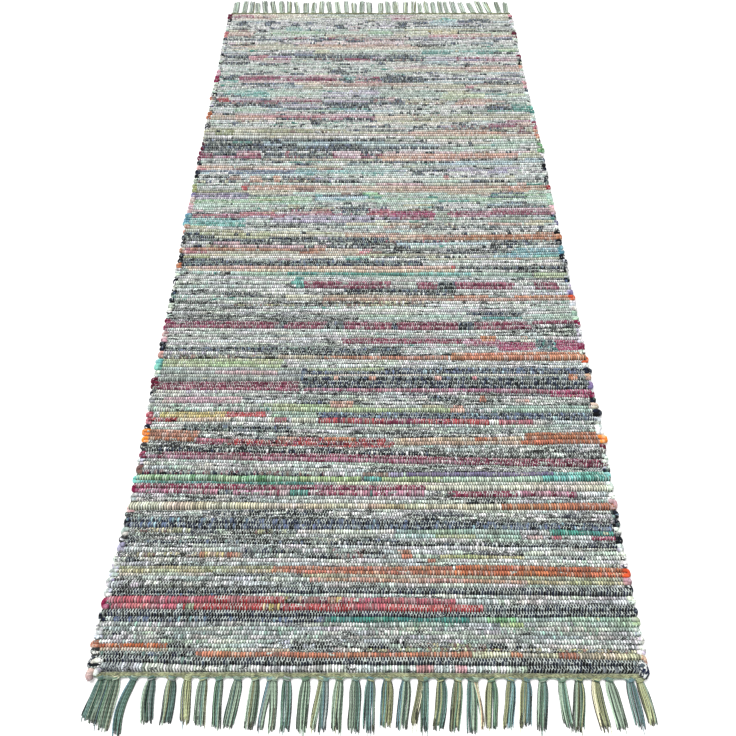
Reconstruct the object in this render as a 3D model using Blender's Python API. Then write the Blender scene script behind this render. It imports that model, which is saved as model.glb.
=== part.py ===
"""Hand-woven rag rug lying flat, with a knotted fringe at both ends.

Metres, +Z up. X runs across the rug and Y along it, and the near end is at -Y.
The origin is the centre of the underside. The cloth is one flat solid whose weft
rows are raised as ribs. Each fringe is a narrow header strip with its knots and
locks fused to it, a hair's breadth away from the cloth.
"""

import math
import random
from collections import namedtuple

import bmesh
import bpy

NAME = "rag_rug"
MM = 0.001

# Woven body
WIDTH = 0.700
LENGTH = 1.400
WEFT_ROWS = 236
ROW_PITCH = LENGTH / WEFT_ROWS
CREST_HEIGHT = 0.0060
VALLEY_HEIGHT = 0.0044
SELVEDGE_HEIGHT = 0.0034
SELVEDGE_INSET = 0.012
LOOP_ROWS = 2
LOOP_BULGE = (0.0010, 0.0060)
LOOP_BULGE_SKEW = 1.6
LOOP_ROUNDNESS = 0.6
STRAIGHT_END = 0.050
SEED = 7

# Slow waves of the weft rows, beaten in by hand: radians per metre, and a phase
Wave = namedtuple("Wave", "height across along phase")
ROW_WAVES = [
    Wave(0.0006, 9.0, 17.0, 0.0),
    Wave(0.0006, 5.0, -31.0, 1.3),
]

# Header strip, knots and locks. Reaches run outward from the cloth's end.
CLOTH_GAP = 0.0003
HEADER_INSET = 0.007
HEADER_REACH = 0.0050
HEADER_LIFT = 0.0003
HEADER_TOP = 0.0036
KNOT_CENTRE = 0.0054
KNOT_SIDES = 6
KNOT_FOOT_HALF = 0.0058
KNOT_TOP_SHARE = 0.78
KNOT_DEPTH_SHARE = 0.6
KNOT_HEIGHT = 0.0055
LOCKS_PER_TASSEL = 4
LOCK_ROOT_REACH = 0.0056
LOCK_ROOT_HALF = 0.0043
LOCK_ROOT_LIFT = 0.0002
LOCK_GAP = 0.0005
LOCK_START = 0.0076
LOCK_ROOT_HEIGHT = 0.0040
LOCK_MID_HEIGHT = 0.0036
LOCK_TIP_HEIGHT = 0.0022
LOCK_TOP_SHARE = 0.7
LOCK_LENGTH_SPREAD = 0.05

# How far each selvedge stands out from a straight edge, along the rug
EdgeRow = namedtuple("EdgeRow", "along_mm left_out_mm right_out_mm")
EDGE_ROWS = [
    EdgeRow(0, 5.0, -2.0),
    EdgeRow(60, 4.0, -2.0),
    EdgeRow(130, 0.0, -2.0),
    EdgeRow(215, -5.0, 0.0),
    EdgeRow(300, -5.0, 3.0),
    EdgeRow(400, -2.0, 3.0),
    EdgeRow(640, -1.5, 1.0),
    EdgeRow(800, 0.0, 0.0),
    EdgeRow(1000, 0.0, 0.0),
    EdgeRow(1150, 0.0, -4.0),
    EdgeRow(1400, 0.0, -5.0),
]

# The near end of the cloth is not quite square: it dips away towards the right
NEAR_DIP = 0.0025
NEAR_DIP_FADE = 0.060

# Tassels of the near end. Distances run from the left selvedge. The bow is how
# far the middle of the tassel lies off the line from its knot to its tip.
Tassel = namedtuple("Tassel", "root_mm tip_mm half_width_mm length_mm bow_mm")
NEAR_TASSELS = [
    Tassel(13, 4.0, 8.0, 42, 1.0),
    Tassel(30, 24.5, 9.5, 52, 1.0),
    Tassel(53, 45.0, 5.5, 57, -5.0),
    Tassel(76, 79.0, 8.0, 46, -1.0),
    Tassel(101, 101.0, 7.5, 46, 1.0),
    Tassel(121, 124.5, 6.5, 46, -1.0),
    Tassel(141, 142.5, 6.5, 48, -1.0),
    Tassel(161, 163.0, 5.5, 50, -1.0),
    Tassel(184, 177.5, 6.5, 49, 0.5),
    Tassel(206, 204.0, 6.5, 50, 0.5),
    Tassel(226, 223.0, 9.5, 53, 0.0),
    Tassel(245, 246.0, 6.5, 52, 0.5),
    Tassel(269, 266.5, 7.0, 53, -0.5),
    Tassel(291, 286.0, 10.0, 52, 0.0),
    Tassel(311, 308.0, 6.0, 53, -1.0),
    Tassel(331, 330.0, 7.5, 53, 0.5),
    Tassel(350, 348.0, 7.0, 53, -0.5),
    Tassel(371, 368.0, 7.5, 47, 0.5),
    Tassel(394, 388.0, 7.0, 50, 0.5),
    Tassel(416, 410.0, 8.5, 50, 0.0),
    Tassel(438, 431.0, 6.0, 50, 2.0),
    Tassel(459, 451.0, 6.5, 51, 0.5),
    Tassel(478, 474.5, 8.5, 52, 0.5),
    Tassel(501, 495.5, 7.5, 49, 0.5),
    Tassel(525, 516.0, 6.0, 48, 0.5),
    Tassel(544, 537.0, 8.0, 47, 0.5),
    Tassel(565, 557.0, 6.0, 50, 0.5),
    Tassel(590, 583.5, 5.5, 47, -1.5),
    Tassel(610, 599.0, 7.0, 52, 1.0),
    Tassel(630, 631.0, 6.5, 51, -1.0),
    Tassel(650, 650.0, 8.0, 50, 0.5),
    Tassel(671, 674.0, 6.5, 47, 0.0),
    Tassel(686, 690.5, 6.5, 45, 1.5),
]

# Tassels of the far end, which lie at more even lengths
FarTassel = namedtuple("FarTassel", "root_mm lean_mm half_width_mm")
FAR_TASSELS = [
    FarTassel(12, 0, 8.0),
    FarTassel(34, 0, 6.5),
    FarTassel(52, -2, 6.5),
    FarTassel(68, -5, 6.0),
    FarTassel(88, -7, 7.0),
    FarTassel(109, -8, 7.0),
    FarTassel(129, -6, 7.5),
    FarTassel(146, -3, 6.0),
    FarTassel(167, -6, 6.5),
    FarTassel(188, -2, 7.5),
    FarTassel(206, 1, 6.5),
    FarTassel(226, -1, 7.0),
    FarTassel(248, -6, 6.5),
    FarTassel(269, -6, 7.0),
    FarTassel(289, -2, 5.5),
    FarTassel(308, -2, 6.5),
    FarTassel(326, 2, 7.0),
    FarTassel(346, -2, 7.5),
    FarTassel(373, 1, 7.0),
    FarTassel(392, -1, 6.5),
    FarTassel(411, 0, 8.0),
    FarTassel(435, 2, 6.0),
    FarTassel(455, 2, 6.5),
    FarTassel(472, -1, 6.0),
    FarTassel(489, -3, 6.0),
    FarTassel(506, -1, 6.5),
    FarTassel(523, -2, 6.0),
    FarTassel(540, -5, 6.0),
    FarTassel(558, -5, 7.0),
    FarTassel(580, -7, 6.5),
    FarTassel(604, -9, 7.0),
    FarTassel(624, -7, 7.0),
    FarTassel(645, -9, 7.0),
    FarTassel(668, -4, 6.5),
    FarTassel(685, 2, 6.5),
]
FAR_LENGTH_MM = (44, 52)


def clear_scene():
    """Remove the objects that the file opens with."""
    for old in list(bpy.data.objects):
        bpy.data.objects.remove(old, do_unlink=True)


def add_collection(name):
    collection = bpy.data.collections.new(name)
    bpy.context.scene.collection.children.link(collection)
    return collection


def add_material(name, colour, roughness):
    material = bpy.data.materials.new(name)
    material.use_nodes = True
    shader = material.node_tree.nodes["Principled BSDF"]
    shader.inputs["Base Color"].default_value = (*colour, 1.0)
    shader.inputs["Roughness"].default_value = roughness
    shader.inputs["Metallic"].default_value = 0.0
    return material


def add_object(name, bm, collection, material=None):
    """Turn a bmesh into a named object with its faces pointing out."""
    bmesh.ops.recalc_face_normals(bm, faces=bm.faces)
    mesh = bpy.data.meshes.new(name)
    bm.to_mesh(mesh)
    bm.free()
    obj = bpy.data.objects.new(name, mesh)
    if material:
        mesh.materials.append(material)
    collection.objects.link(obj)
    return obj


def interpolate(rows, at, field):
    """Read a table between its rows with a smooth step from one to the next."""
    if at <= rows[0][0]:
        return getattr(rows[0], field)
    for low, high in zip(rows, rows[1:]):
        if at <= high[0]:
            share = (at - low[0]) / (high[0] - low[0])
            share = share * share * (3 - 2 * share)
            return getattr(low, field) + share * (getattr(high, field) - getattr(low, field))
    return getattr(rows[-1], field)


def across(distance_mm):
    """X of a distance in mm from the left selvedge."""
    return distance_mm * MM - WIDTH / 2


def end_dip(x):
    """How far the near end of the cloth dips at X."""
    return NEAR_DIP * (x + WIDTH / 2) / WIDTH


def row_shift(x, y):
    """How far a weft row lies off its straight line: the dip of the near end,
    fading up the rug, and the rows' slow waves, which die away at both ends."""
    from_near = y + LENGTH / 2
    from_far = LENGTH / 2 - y
    fade = math.exp(-from_near / NEAR_DIP_FADE)
    steady = min(1.0, from_near / STRAIGHT_END, from_far / STRAIGHT_END)
    waves = sum(wave.height * math.sin(wave.across * x + wave.along * y + wave.phase)
                for wave in ROW_WAVES)
    return waves * steady - end_dip(x) * fade


def loop_bulges(count, rng):
    """How far each selvedge loop stands out: mostly modest, now and then a fat one."""
    low, high = LOOP_BULGE
    return [low + (high - low) * rng.random() ** LOOP_BULGE_SKEW for _ in range(count)]


def loop_profile(half_row, first_row, bulges):
    """Outward reach of the selvedge at a half row, where each loop spans two rows."""
    position = (half_row / 2 - first_row) / LOOP_ROWS
    index = math.floor(position)
    if index < 0 or index >= len(bulges):
        return 0.0
    return bulges[index] * math.sin(math.pi * (position - index)) ** LOOP_ROUNDNESS


def cloth_section(half_row, bulges_left, bulges_right):
    """The seven corners of the cloth's section at a weft crest (odd) or valley (even)."""
    y = -LENGTH / 2 + half_row * ROW_PITCH / 2
    along = (y + LENGTH / 2) / MM
    top = CREST_HEIGHT if half_row % 2 else VALLEY_HEIGHT
    left = -WIDTH / 2 - interpolate(EDGE_ROWS, along, "left_out_mm") * MM
    right = WIDTH / 2 + interpolate(EDGE_ROWS, along, "right_out_mm") * MM
    left_out = left - loop_profile(half_row, 0, bulges_left)
    right_out = right + loop_profile(half_row, 1, bulges_right)
    corners = [
        (left_out, 0.0),
        (left_out, SELVEDGE_HEIGHT),
        (left + SELVEDGE_INSET, top),
        (0.0, top),
        (right - SELVEDGE_INSET, top),
        (right_out, SELVEDGE_HEIGHT),
        (right_out, 0.0),
    ]
    return [(x, y + row_shift(x, y), z) for x, z in corners]


def loft(bm, sections):
    """Join like sections, each a closed ring of corners, into one capped solid."""
    rings = [[bm.verts.new(corner) for corner in section] for section in sections]
    for ring, following in zip(rings, rings[1:]):
        for index in range(len(ring)):
            after = (index + 1) % len(ring)
            bm.faces.new((ring[index], ring[after], following[after], following[index]))
    bm.faces.new(reversed(rings[0]))
    bm.faces.new(rings[-1])


def make_woven_body(collection):
    """The cloth: one flat slab with a rib for each weft row and uneven selvedges."""
    rng = random.Random(SEED)
    bulges_left = loop_bulges(WEFT_ROWS // LOOP_ROWS, rng)
    bulges_right = loop_bulges(WEFT_ROWS // LOOP_ROWS - 1, rng)
    half_rows = range(2 * WEFT_ROWS + 1)
    bm = bmesh.new()
    loft(bm, [cloth_section(half_row, bulges_left, bulges_right) for half_row in half_rows])
    material = add_material("woven_rags", (0.50, 0.53, 0.49), 0.9)
    return add_object("woven_body", bm, collection, material)


def end_line(x, end):
    """Y of the cloth's end at X, with end -1 for the near end and 1 for the far one."""
    y = end * LENGTH / 2
    return y + row_shift(x, y)


def far_tassels():
    """The far end's tassels, with their lengths drawn around an even one."""
    rng = random.Random(SEED + 1)
    tassels = []
    for row in FAR_TASSELS:
        length = rng.uniform(*FAR_LENGTH_MM)
        tip = row.root_mm + row.lean_mm
        tassels.append(Tassel(row.root_mm, tip, row.half_width_mm, length, 0.0))
    return tassels


def header_outline(end):
    """Corners of the header, which follows the cloth's end across the rug."""
    start = -WIDTH / 2 + HEADER_INSET
    stop = WIDTH / 2 - HEADER_INSET
    corners = [(start, CLOTH_GAP), (stop, CLOTH_GAP), (stop, HEADER_REACH), (start, HEADER_REACH)]
    return [(x, end_line(x, end) + end * reach) for x, reach in corners]


def add_header(name, end, collection):
    """The header strip: a flat outline given its height, just clear of the floor."""
    curve = bpy.data.curves.new(name, "CURVE")
    curve.dimensions = "2D"
    curve.fill_mode = "BOTH"
    curve.extrude = (HEADER_TOP - HEADER_LIFT) / 2
    corners = header_outline(end)
    spline = curve.splines.new("POLY")
    spline.points.add(len(corners) - 1)
    for point, (x, y) in zip(spline.points, corners):
        point.co = (x, y, 0.0, 1.0)
    spline.use_cyclic_u = True
    outline = bpy.data.objects.new(name + "_outline", curve)
    outline.location.z = (HEADER_TOP + HEADER_LIFT) / 2
    collection.objects.link(outline)
    bpy.context.view_layer.update()
    evaluated = outline.evaluated_get(bpy.context.evaluated_depsgraph_get())
    mesh = bpy.data.meshes.new_from_object(evaluated)
    bm = bmesh.new()
    bm.from_mesh(mesh)
    bmesh.ops.remove_doubles(bm, verts=bm.verts, dist=0.00001)
    bmesh.ops.recalc_face_normals(bm, faces=bm.faces)
    bm.to_mesh(mesh)
    bm.free()
    header = bpy.data.objects.new(name, mesh)
    header.matrix_world = outline.matrix_world
    collection.objects.link(header)
    bpy.data.objects.remove(outline)
    return header


def add_knots(name, tassels, end, collection):
    """A squat six-sided lump for the knot at the head of each tassel."""
    bm = bmesh.new()
    for tassel in tassels:
        x = across(tassel.root_mm)
        y = end_line(x, end) + end * KNOT_CENTRE
        knot = bmesh.ops.create_cone(
            bm, cap_ends=True, segments=KNOT_SIDES, radius1=KNOT_FOOT_HALF,
            radius2=KNOT_FOOT_HALF * KNOT_TOP_SHARE, depth=KNOT_HEIGHT)
        bmesh.ops.scale(bm, verts=knot["verts"], vec=(1.0, KNOT_DEPTH_SHARE, 1.0))
        bmesh.ops.translate(bm, verts=knot["verts"], vec=(x, y, KNOT_HEIGHT / 2))
    return add_object(name, bm, collection)


def lock_section(x, y, width, floor, height):
    """Four corners of a lock's section, narrower on top than on the floor."""
    top = LOCK_TOP_SHARE * width
    return [
        (x - width / 2, y, floor),
        (x + width / 2, y, floor),
        (x + top / 2, y, height),
        (x - top / 2, y, height),
    ]


def lock_sections(tassel, index, end, rng):
    """Sections of one lock at its root, at its middle if it is bowed, and at its tip."""
    root_x = across(tassel.root_mm)
    tip_x = across(tassel.tip_mm)
    place = (index + 0.5) / LOCKS_PER_TASSEL * 2 - 1
    tip_half = tassel.half_width_mm * MM
    middle_half = (LOCK_ROOT_HALF + tip_half) / 2
    length = tassel.length_mm * MM * (1 + LOCK_LENGTH_SPREAD * rng.uniform(-1, 1))
    root_y = end_line(root_x, end) + end * LOCK_ROOT_REACH
    tip_y = end_line(root_x, end) + end * (LOCK_START + length)
    middle_x = (root_x + tip_x) / 2 + tassel.bow_mm * MM
    middle_y = (root_y + tip_y) / 2

    def section(x, y, half, floor, height):
        width = 2 * half / LOCKS_PER_TASSEL - LOCK_GAP
        return lock_section(x + place * half, y, width, floor, height)

    root = section(root_x, root_y, LOCK_ROOT_HALF, LOCK_ROOT_LIFT, LOCK_ROOT_HEIGHT)
    tip = section(tip_x, tip_y, tip_half, 0.0, LOCK_TIP_HEIGHT)
    if tassel.bow_mm == 0:
        return [root, tip]
    return [root, section(middle_x, middle_y, middle_half, 0.0, LOCK_MID_HEIGHT), tip]


def add_locks(name, tassels, end, collection):
    """The locks of every tassel, apart from one another, each rooted in its knot."""
    rng = random.Random(SEED + 2 + end)
    bm = bmesh.new()
    for tassel in tassels:
        for index in range(LOCKS_PER_TASSEL):
            loft(bm, lock_sections(tassel, index, end, rng))
    return add_object(name, bm, collection)


def fuse(base, other):
    """Join another solid to the base one."""
    union = base.modifiers.new("join_" + other.name, "BOOLEAN")
    union.operation = "UNION"
    union.solver = "EXACT"
    union.object = other
    other.hide_render = True
    other.display_type = "WIRE"


def make_fringe(name, tassels, end, collection, helpers):
    """One end's header with its knots and locks fused to it."""
    fringe = add_header(name, end, collection)
    fringe.data.materials.append(add_material(name + "_yarn", (0.24, 0.33, 0.24), 0.85))
    fuse(fringe, add_knots(name + "_knots", tassels, end, helpers))
    fuse(fringe, add_locks(name + "_locks", tassels, end, helpers))
    return fringe


def main():
    clear_scene()
    rug = add_collection(NAME)
    helpers = add_collection(NAME + "_helpers")
    make_woven_body(rug)
    make_fringe("fringe_near", NEAR_TASSELS, -1, rug, helpers)
    make_fringe("fringe_far", far_tassels(), 1, rug, helpers)


main()
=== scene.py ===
"""Looks of a hand-woven rag rug: its rows of rags, selvedge loops, headers and knotted
fringe, on a pale floor. Metres, +Z up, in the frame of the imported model. Across the rug
and along it, distances in the tables are mm from the left selvedge and the near end.
"""

import math
from collections import namedtuple

import bpy
import numpy as np
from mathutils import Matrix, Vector


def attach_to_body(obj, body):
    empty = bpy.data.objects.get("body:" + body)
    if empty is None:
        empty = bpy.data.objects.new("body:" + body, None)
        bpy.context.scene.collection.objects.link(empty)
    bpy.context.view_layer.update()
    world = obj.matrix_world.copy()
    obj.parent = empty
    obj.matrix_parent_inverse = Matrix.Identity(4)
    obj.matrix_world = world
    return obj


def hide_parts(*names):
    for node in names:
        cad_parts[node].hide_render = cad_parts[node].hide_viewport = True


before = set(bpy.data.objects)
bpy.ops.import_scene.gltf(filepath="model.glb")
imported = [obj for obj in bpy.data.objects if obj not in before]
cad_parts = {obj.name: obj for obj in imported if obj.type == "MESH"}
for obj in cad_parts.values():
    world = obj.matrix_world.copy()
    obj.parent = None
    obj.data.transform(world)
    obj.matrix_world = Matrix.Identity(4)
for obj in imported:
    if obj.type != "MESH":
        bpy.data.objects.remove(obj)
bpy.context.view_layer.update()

MM = 0.001
SEED = 11

# The cloth, as in the model
WIDTH = 0.700
LENGTH = 1.400
WIDTH_MM = WIDTH / MM
LENGTH_MM = LENGTH / MM
ROWS = 236
ROW_MM = LENGTH_MM / ROWS
FLOATS = 186

# How the rows of rags wander and stand out. Here and below, two values for a wobble are
# its size and the mm or points from one turn of it to the next.
WANDER = (0.75, 38)
FRAY = (0.3, 7)
VALLEY_MM = 3.3
HEIGHT_PER_THICKNESS = 0.42
LUMP = (0.55, 14)
GRAIN_JITTER_MM = 0.25
GROOVE_MM = 1.0
GROOVE_SHARE = 0.20
VALLEY_GROOVE_MM = 0.3
INTERLOCK_MM = 0.45
OVERLAP_MM = 0.35
CREST_STRAY = (0.3, 5)
END_MM = 0.4
INSIDE_MM = 0.1
HAIR = 0.01
BACK_RELIEF_MM = 0.7
BACK_COLUMNS = 64

# The cloth is made in lengthwise strips. In a strip's bake map, lengths of it lie side by side
STRIPS = 8
BAKE_LENGTHS = 4
BAKE_ROWS = ROWS // BAKE_LENGTHS
STRIP_MARGIN = 0.03
BACK_MARGIN = 0.01
TUBE_MARGIN = 0.08
CAP_TURNS = (0.1, 0.3, 0.3, 0.1)

# Where rows of the cloth meet, in mm along the rug at mid width. In the far half only
# some of the rows' edges are listed, and the rows between two of them are alike thick.
ROW_EDGES = [
    -1.2, 7.5, 15.5, 21.5, 26, 31, 36, 41, 45.5, 50, 55.5, 61.5, 68.5, 77, 85, 90, 97, 103.5,
    109, 113.5, 118.5, 123.5, 128, 133, 139.5, 146, 151, 156, 160.5, 165.5, 172, 179, 186, 191,
    196, 200, 207.5, 213, 218.5, 227, 235, 239, 246.5, 253, 258.5, 263.5, 267.5, 275, 280.5,
    286, 291, 294, 300, 306, 312, 318, 323, 328.5, 338, 342.5, 347, 355, 360, 366, 371, 376.5,
    382, 389, 396, 403, 410, 413.5, 420, 425, 431, 436, 440, 446.5, 452, 457, 462, 465.5, 470,
    475.5, 481, 486, 491, 496.5, 505, 512, 516, 521, 526, 532, 538, 543, 548, 555, 561, 567,
    573, 580, 588, 596, 600, 605, 608.5, 615, 622, 629.5, 636, 642,
    657, 669, 683, 701, 716, 730, 744, 760, 777, 797, 812, 825, 840, 852, 868, 880, 900, 915,
    928, 943, 957, 966, 980, 998, 1014, 1028, 1047, 1065, 1078, 1090, 1112, 1125, 1138, 1143,
    1160, 1182, 1195, 1217, 1232, 1242, 1256, 1278, 1293, 1305, 1318, 1330, 1345, 1378, 1396,
    1400,
]
ROUND_UP = 0.35
FEWEST_ROWS = 0.1

# How far the rows stray from straight: mm along the rug, then the stray in mm at these
# places across it, but for the middle one, where it's always 0
STATIONS = (0, 175, 350, 525, 700)
ROW_PATHS = [
    (0, 1.2, 0.6, -0.7, -1.3), (8, 4.5, -0.5, -1, -2), (16, 3, 0.5, 0, -3), (22, 1, 0.5, 0, -2.5),
    (45, 0, 0, 0, -1), (61, 1, 0.5, -0.5, 1), (69, 3, 1, -1, 0), (77, 1, 1, -1, -1),
    (85, 2, 2, -2, -4), (90, 1, 0, -2, -4), (97, 0, 0, 0, 0), (104, 3, 2, -2, -5),
    (114, 2, 2, -2, -5), (124, 1, 1, 2, -2), (140, 3, 2, -2, -3), (155, 3, 2, -2, -4),
    (174, 3.5, 0, 1, -2), (186, 4, 1, -3, -6), (200, -2, 0, -1, -3), (208, 4, 2, 0, 2),
    (219, 5, 1, -1.5, -2), (227, 3, 0.5, -1, -2), (239, 3, 0, -1, 0), (247, 4, 2, 0, 4),
    (253, 5, 3, 0, 1), (268, 7, 3, -4, -7), (281, 5, 3, -6, -7.5), (294, 10, 3, 1, 3),
    (306, 10, 3, 1, 6), (328, 4, 3, -1, -1), (338, 1, 2, -1.5, -4), (347, 2, 2, 0, 0),
    (382, 4, 3, -0.5, -5), (389, 3, 2, -1, -3), (403, -3, -2, 0, 0), (425, 2, 0, 0, 0),
    (440, 1.5, 1, -2, -2), (447, 4, 3, 1, 4), (470, 2, 1, -1, -4), (481, 2, 1, -2, -5),
    (497, 4, 2, -1, 4), (512, 2, 1, 0, 4), (555, 0, 0, -1, 0), (596, 1, 1, -2, -2),
    (615, 4, 1, 0, 0), (630, 0, 0, 0, 0), (655, 0, 0, 0, 4), (695, 6, 2, 0, 1), (708, 12, 4, 2, 3),
    (735, 0, 0, 0, 0), (752, -2, -2, 0, 2), (790, -3, -1, 1, 3), (815, 0, 2, -1, 1),
    (862, -1, 0, 2, 2), (928, 2, 1, -2, 2), (960, 0, 0, 0, 0), (978, 6, 4, -1, -1),
    (1000, 0, 0, 0, 3), (1020, 3, 2, 0, 1), (1130, 0, 0, 0, 0), (1225, 0, 3, -2, -1),
    (1300, -1, 0, 0, 2), (1330, -3, 0, 2, 4), (1400, 0, 0, 0, 0),
]
PATH_BLUR_MM = 90

# How far each selvedge stands out from a straight edge: mm along the rug, left and right
EDGE_ROWS = [
    (0, 5, -2), (60, 4, -2), (130, 0, -2), (215, -5, 0), (300, -5, 3), (400, -2, 3), (640, -1.5, 1),
    (800, 0, 0), (1000, 0, 0), (1150, 0, -4), (1400, 0, -5),
]

# Colours of the rags and yarns, as a screen shows them
COLOURS = {
    "white": (226, 234, 228), "snow": (242, 245, 242), "pale": (198, 212, 203), "grey": (150, 160, 157),
    "mint": (170, 208, 188), "lime": (178, 204, 142), "green": (116, 182, 120), "teal": (70, 148, 136),
    "aqua": (108, 196, 186), "cyan": (100, 165, 182), "sky": (150, 190, 205), "navy": (22, 29, 50),
    "denim": (80, 98, 130), "slate": (66, 77, 82), "black": (8, 11, 15), "flame": (230, 84, 44),
    "tangerine": (244, 140, 40), "wine": (102, 28, 52), "mauve": (170, 104, 128),
    "magenta": (132, 28, 68), "red": (158, 36, 42), "rose": (192, 92, 106), "pink": (218, 165, 174),
    "orange": (198, 108, 72), "coral": (198, 124, 98), "salmon": (214, 156, 134),
    "ochre": (208, 188, 110), "khaki": (190, 188, 142), "tan": (206, 178, 146), "sand": (208, 204, 174),
    "cream": (222, 220, 200), "olive": (152, 158, 105), "purple": (112, 98, 148),
    "lilac": (164, 154, 190), "brown": (120, 85, 80), "sage": (136, 154, 136),
    "jade": (94, 121, 114), "steel": (98, 128, 134), "fern": (92, 118, 98),
    "moss": (138, 142, 108), "pine": (66, 92, 78), "hay": (150, 158, 124),
    "mist": (176, 190, 174), "header": (138, 142, 114), "warp_on_dark": (210, 219, 213),
    # the warp in painted shade, where it lies between pale rags
    "warp_on_pale": (60, 68, 66),
}
BRIGHTEST = 255
LIGHTER = 0.35
DARKER = 0.25

# A rag's shades, the shades of the print on it, the share that the print covers, how much
# fine fleck there is, and how much the tone goes up and down from grain to grain
Rag = namedtuple("Rag", "shades marks share fleck tone", defaults=(0.28,))
RAGS = {
    "white": Rag("white*6 snow*5 pale*2", "black*5 grey*1", 0.30, 0.08),
    "pale": Rag("pale*9 white*4 grey*1 mint*1", "black*4 slate*1 grey*2 snow*2", 0.32, 0.08),
    "flecked": Rag("white*5 pale*2 snow*3", "black*6 navy*1", 0.62, 0.22),
    "minty": Rag("mint*4 pale*3 white*3", "black*3 teal*2 snow*3", 0.32, 0.10),
    "opal": Rag("white*5 lilac+*2 pale*1 snow*2", "slate*2 lilac*1 navy*2", 0.24, 0.12),
    "navy": Rag("navy*6 black*6 slate*1", "pale*2 slate*2", 0.06, 0.16),
    "blue": Rag("denim*4 navy*8 black*3 slate*1 sky*1", "pale*2 navy*3", 0.12, 0.12),
    "slate": Rag("slate*3 grey*1 navy*4 black*6 denim*1 jade*1", "pale*1 black*4", 0.25, 0.16),
    "black": Rag("black*7 navy*2 white*2", "pale*1 black*1", 0.06, 0.12),
    "ash": Rag("grey*5 pale*3 slate*2", "black*3 slate*3 snow*1", 0.30, 0.16),
    "bark": Rag("khaki*3 brown*2 sand*2 white*2", "black*4 slate*1", 0.50, 0.24),
    "maroon": Rag("brown*3 navy*3 grey*2 wine*1", "pale*3 black*2", 0.35, 0.28),
    "lagoon": Rag("slate*3 teal*2 navy*2 sky*1 grey*2", "snow*2 navy*2", 0.45, 0.16),
    "brick": Rag("red*4 wine*3 brown*2 red-*3", "black*3 wine*1", 0.25, 0.06),
    "ink": Rag("black*1", "black*1", 0.0, 0.0, 0.0),
    "blush": Rag("pink*3 mauve+*3", "pink*1", 0.0, 0.10, 0.10),
    "knotted": Rag("navy*5 black*6 slate*2", "snow*1", 0.0, 0.50, 0.20),
    "russet": Rag("brown*3 tan*2 wine*2 ochre*1 salmon*2", "black*2 wine*2", 0.30, 0.20),
    "wine": Rag("wine*7 wine+*1 wine-*3", "pale*1 grey*1 wine-*4", 0.20, 0.08),
    "mauve": Rag("mauve*6 mauve+*3 wine*2", "pale*2 grey*1 wine*2", 0.20, 0.12),
}
SOLID_SHADES = "{0}*5 {0}+*2 {0}-*2"
SOLID_MARKS = "pale*2 sand*1 {0}-*4"
SOLID = (0.14, 0.04, 0.12)

# How a rag's grains vary: each is a little paler or tinted, dark ones the least
ROW_PALER = 0.22
GRAIN_PALER = 0.16
PALER_BY_LIGHT = 1.7
PALER_LEAST = 0.1
TONE_UP = 0.6
ROW_TONE = (0.90, 1.05)
GRAIN_TONE = (0.93, 1.07)
TINT = (0.045, 9)
MARK_GRAINS = 9
MARK_SWING = (0.5, 12)

# Painted light at the far end: colours painted paler, towards white, and with more change from row to row
FAR_PAINTED_LIGHT = 0.42
FAR_LIFT = 1.04
FAR_ROW_TONE = 0.45
PAINTED_LIGHT_POWER = 0.8
PAINTED_LIGHT_BY_LIGHTNESS = 1.5
PAINTED_LIGHT_LEAST = 0.45

# The ground under the charted stripes, in stretches of these lengths. From a fifth of the
# rug's length on, more and more rows have the far ground.
NEAR_GROUND = (("white", 0.42), ("pale", 0.33), ("flecked", 0.25))
FAR_GROUND = (("white", 0.20), ("pale", 0.20), ("minty", 0.22), ("opal", 0.12), ("flecked", 0.26))
FAR_GROUND_GAIN = 2
FAR_GROUND_START = 0.4
GROUND_MM = (150, 600)
GROUND_LEAD_MM = 150
END_JITTER_MM = 4
STRIPE_SHARE = 0.5
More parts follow.
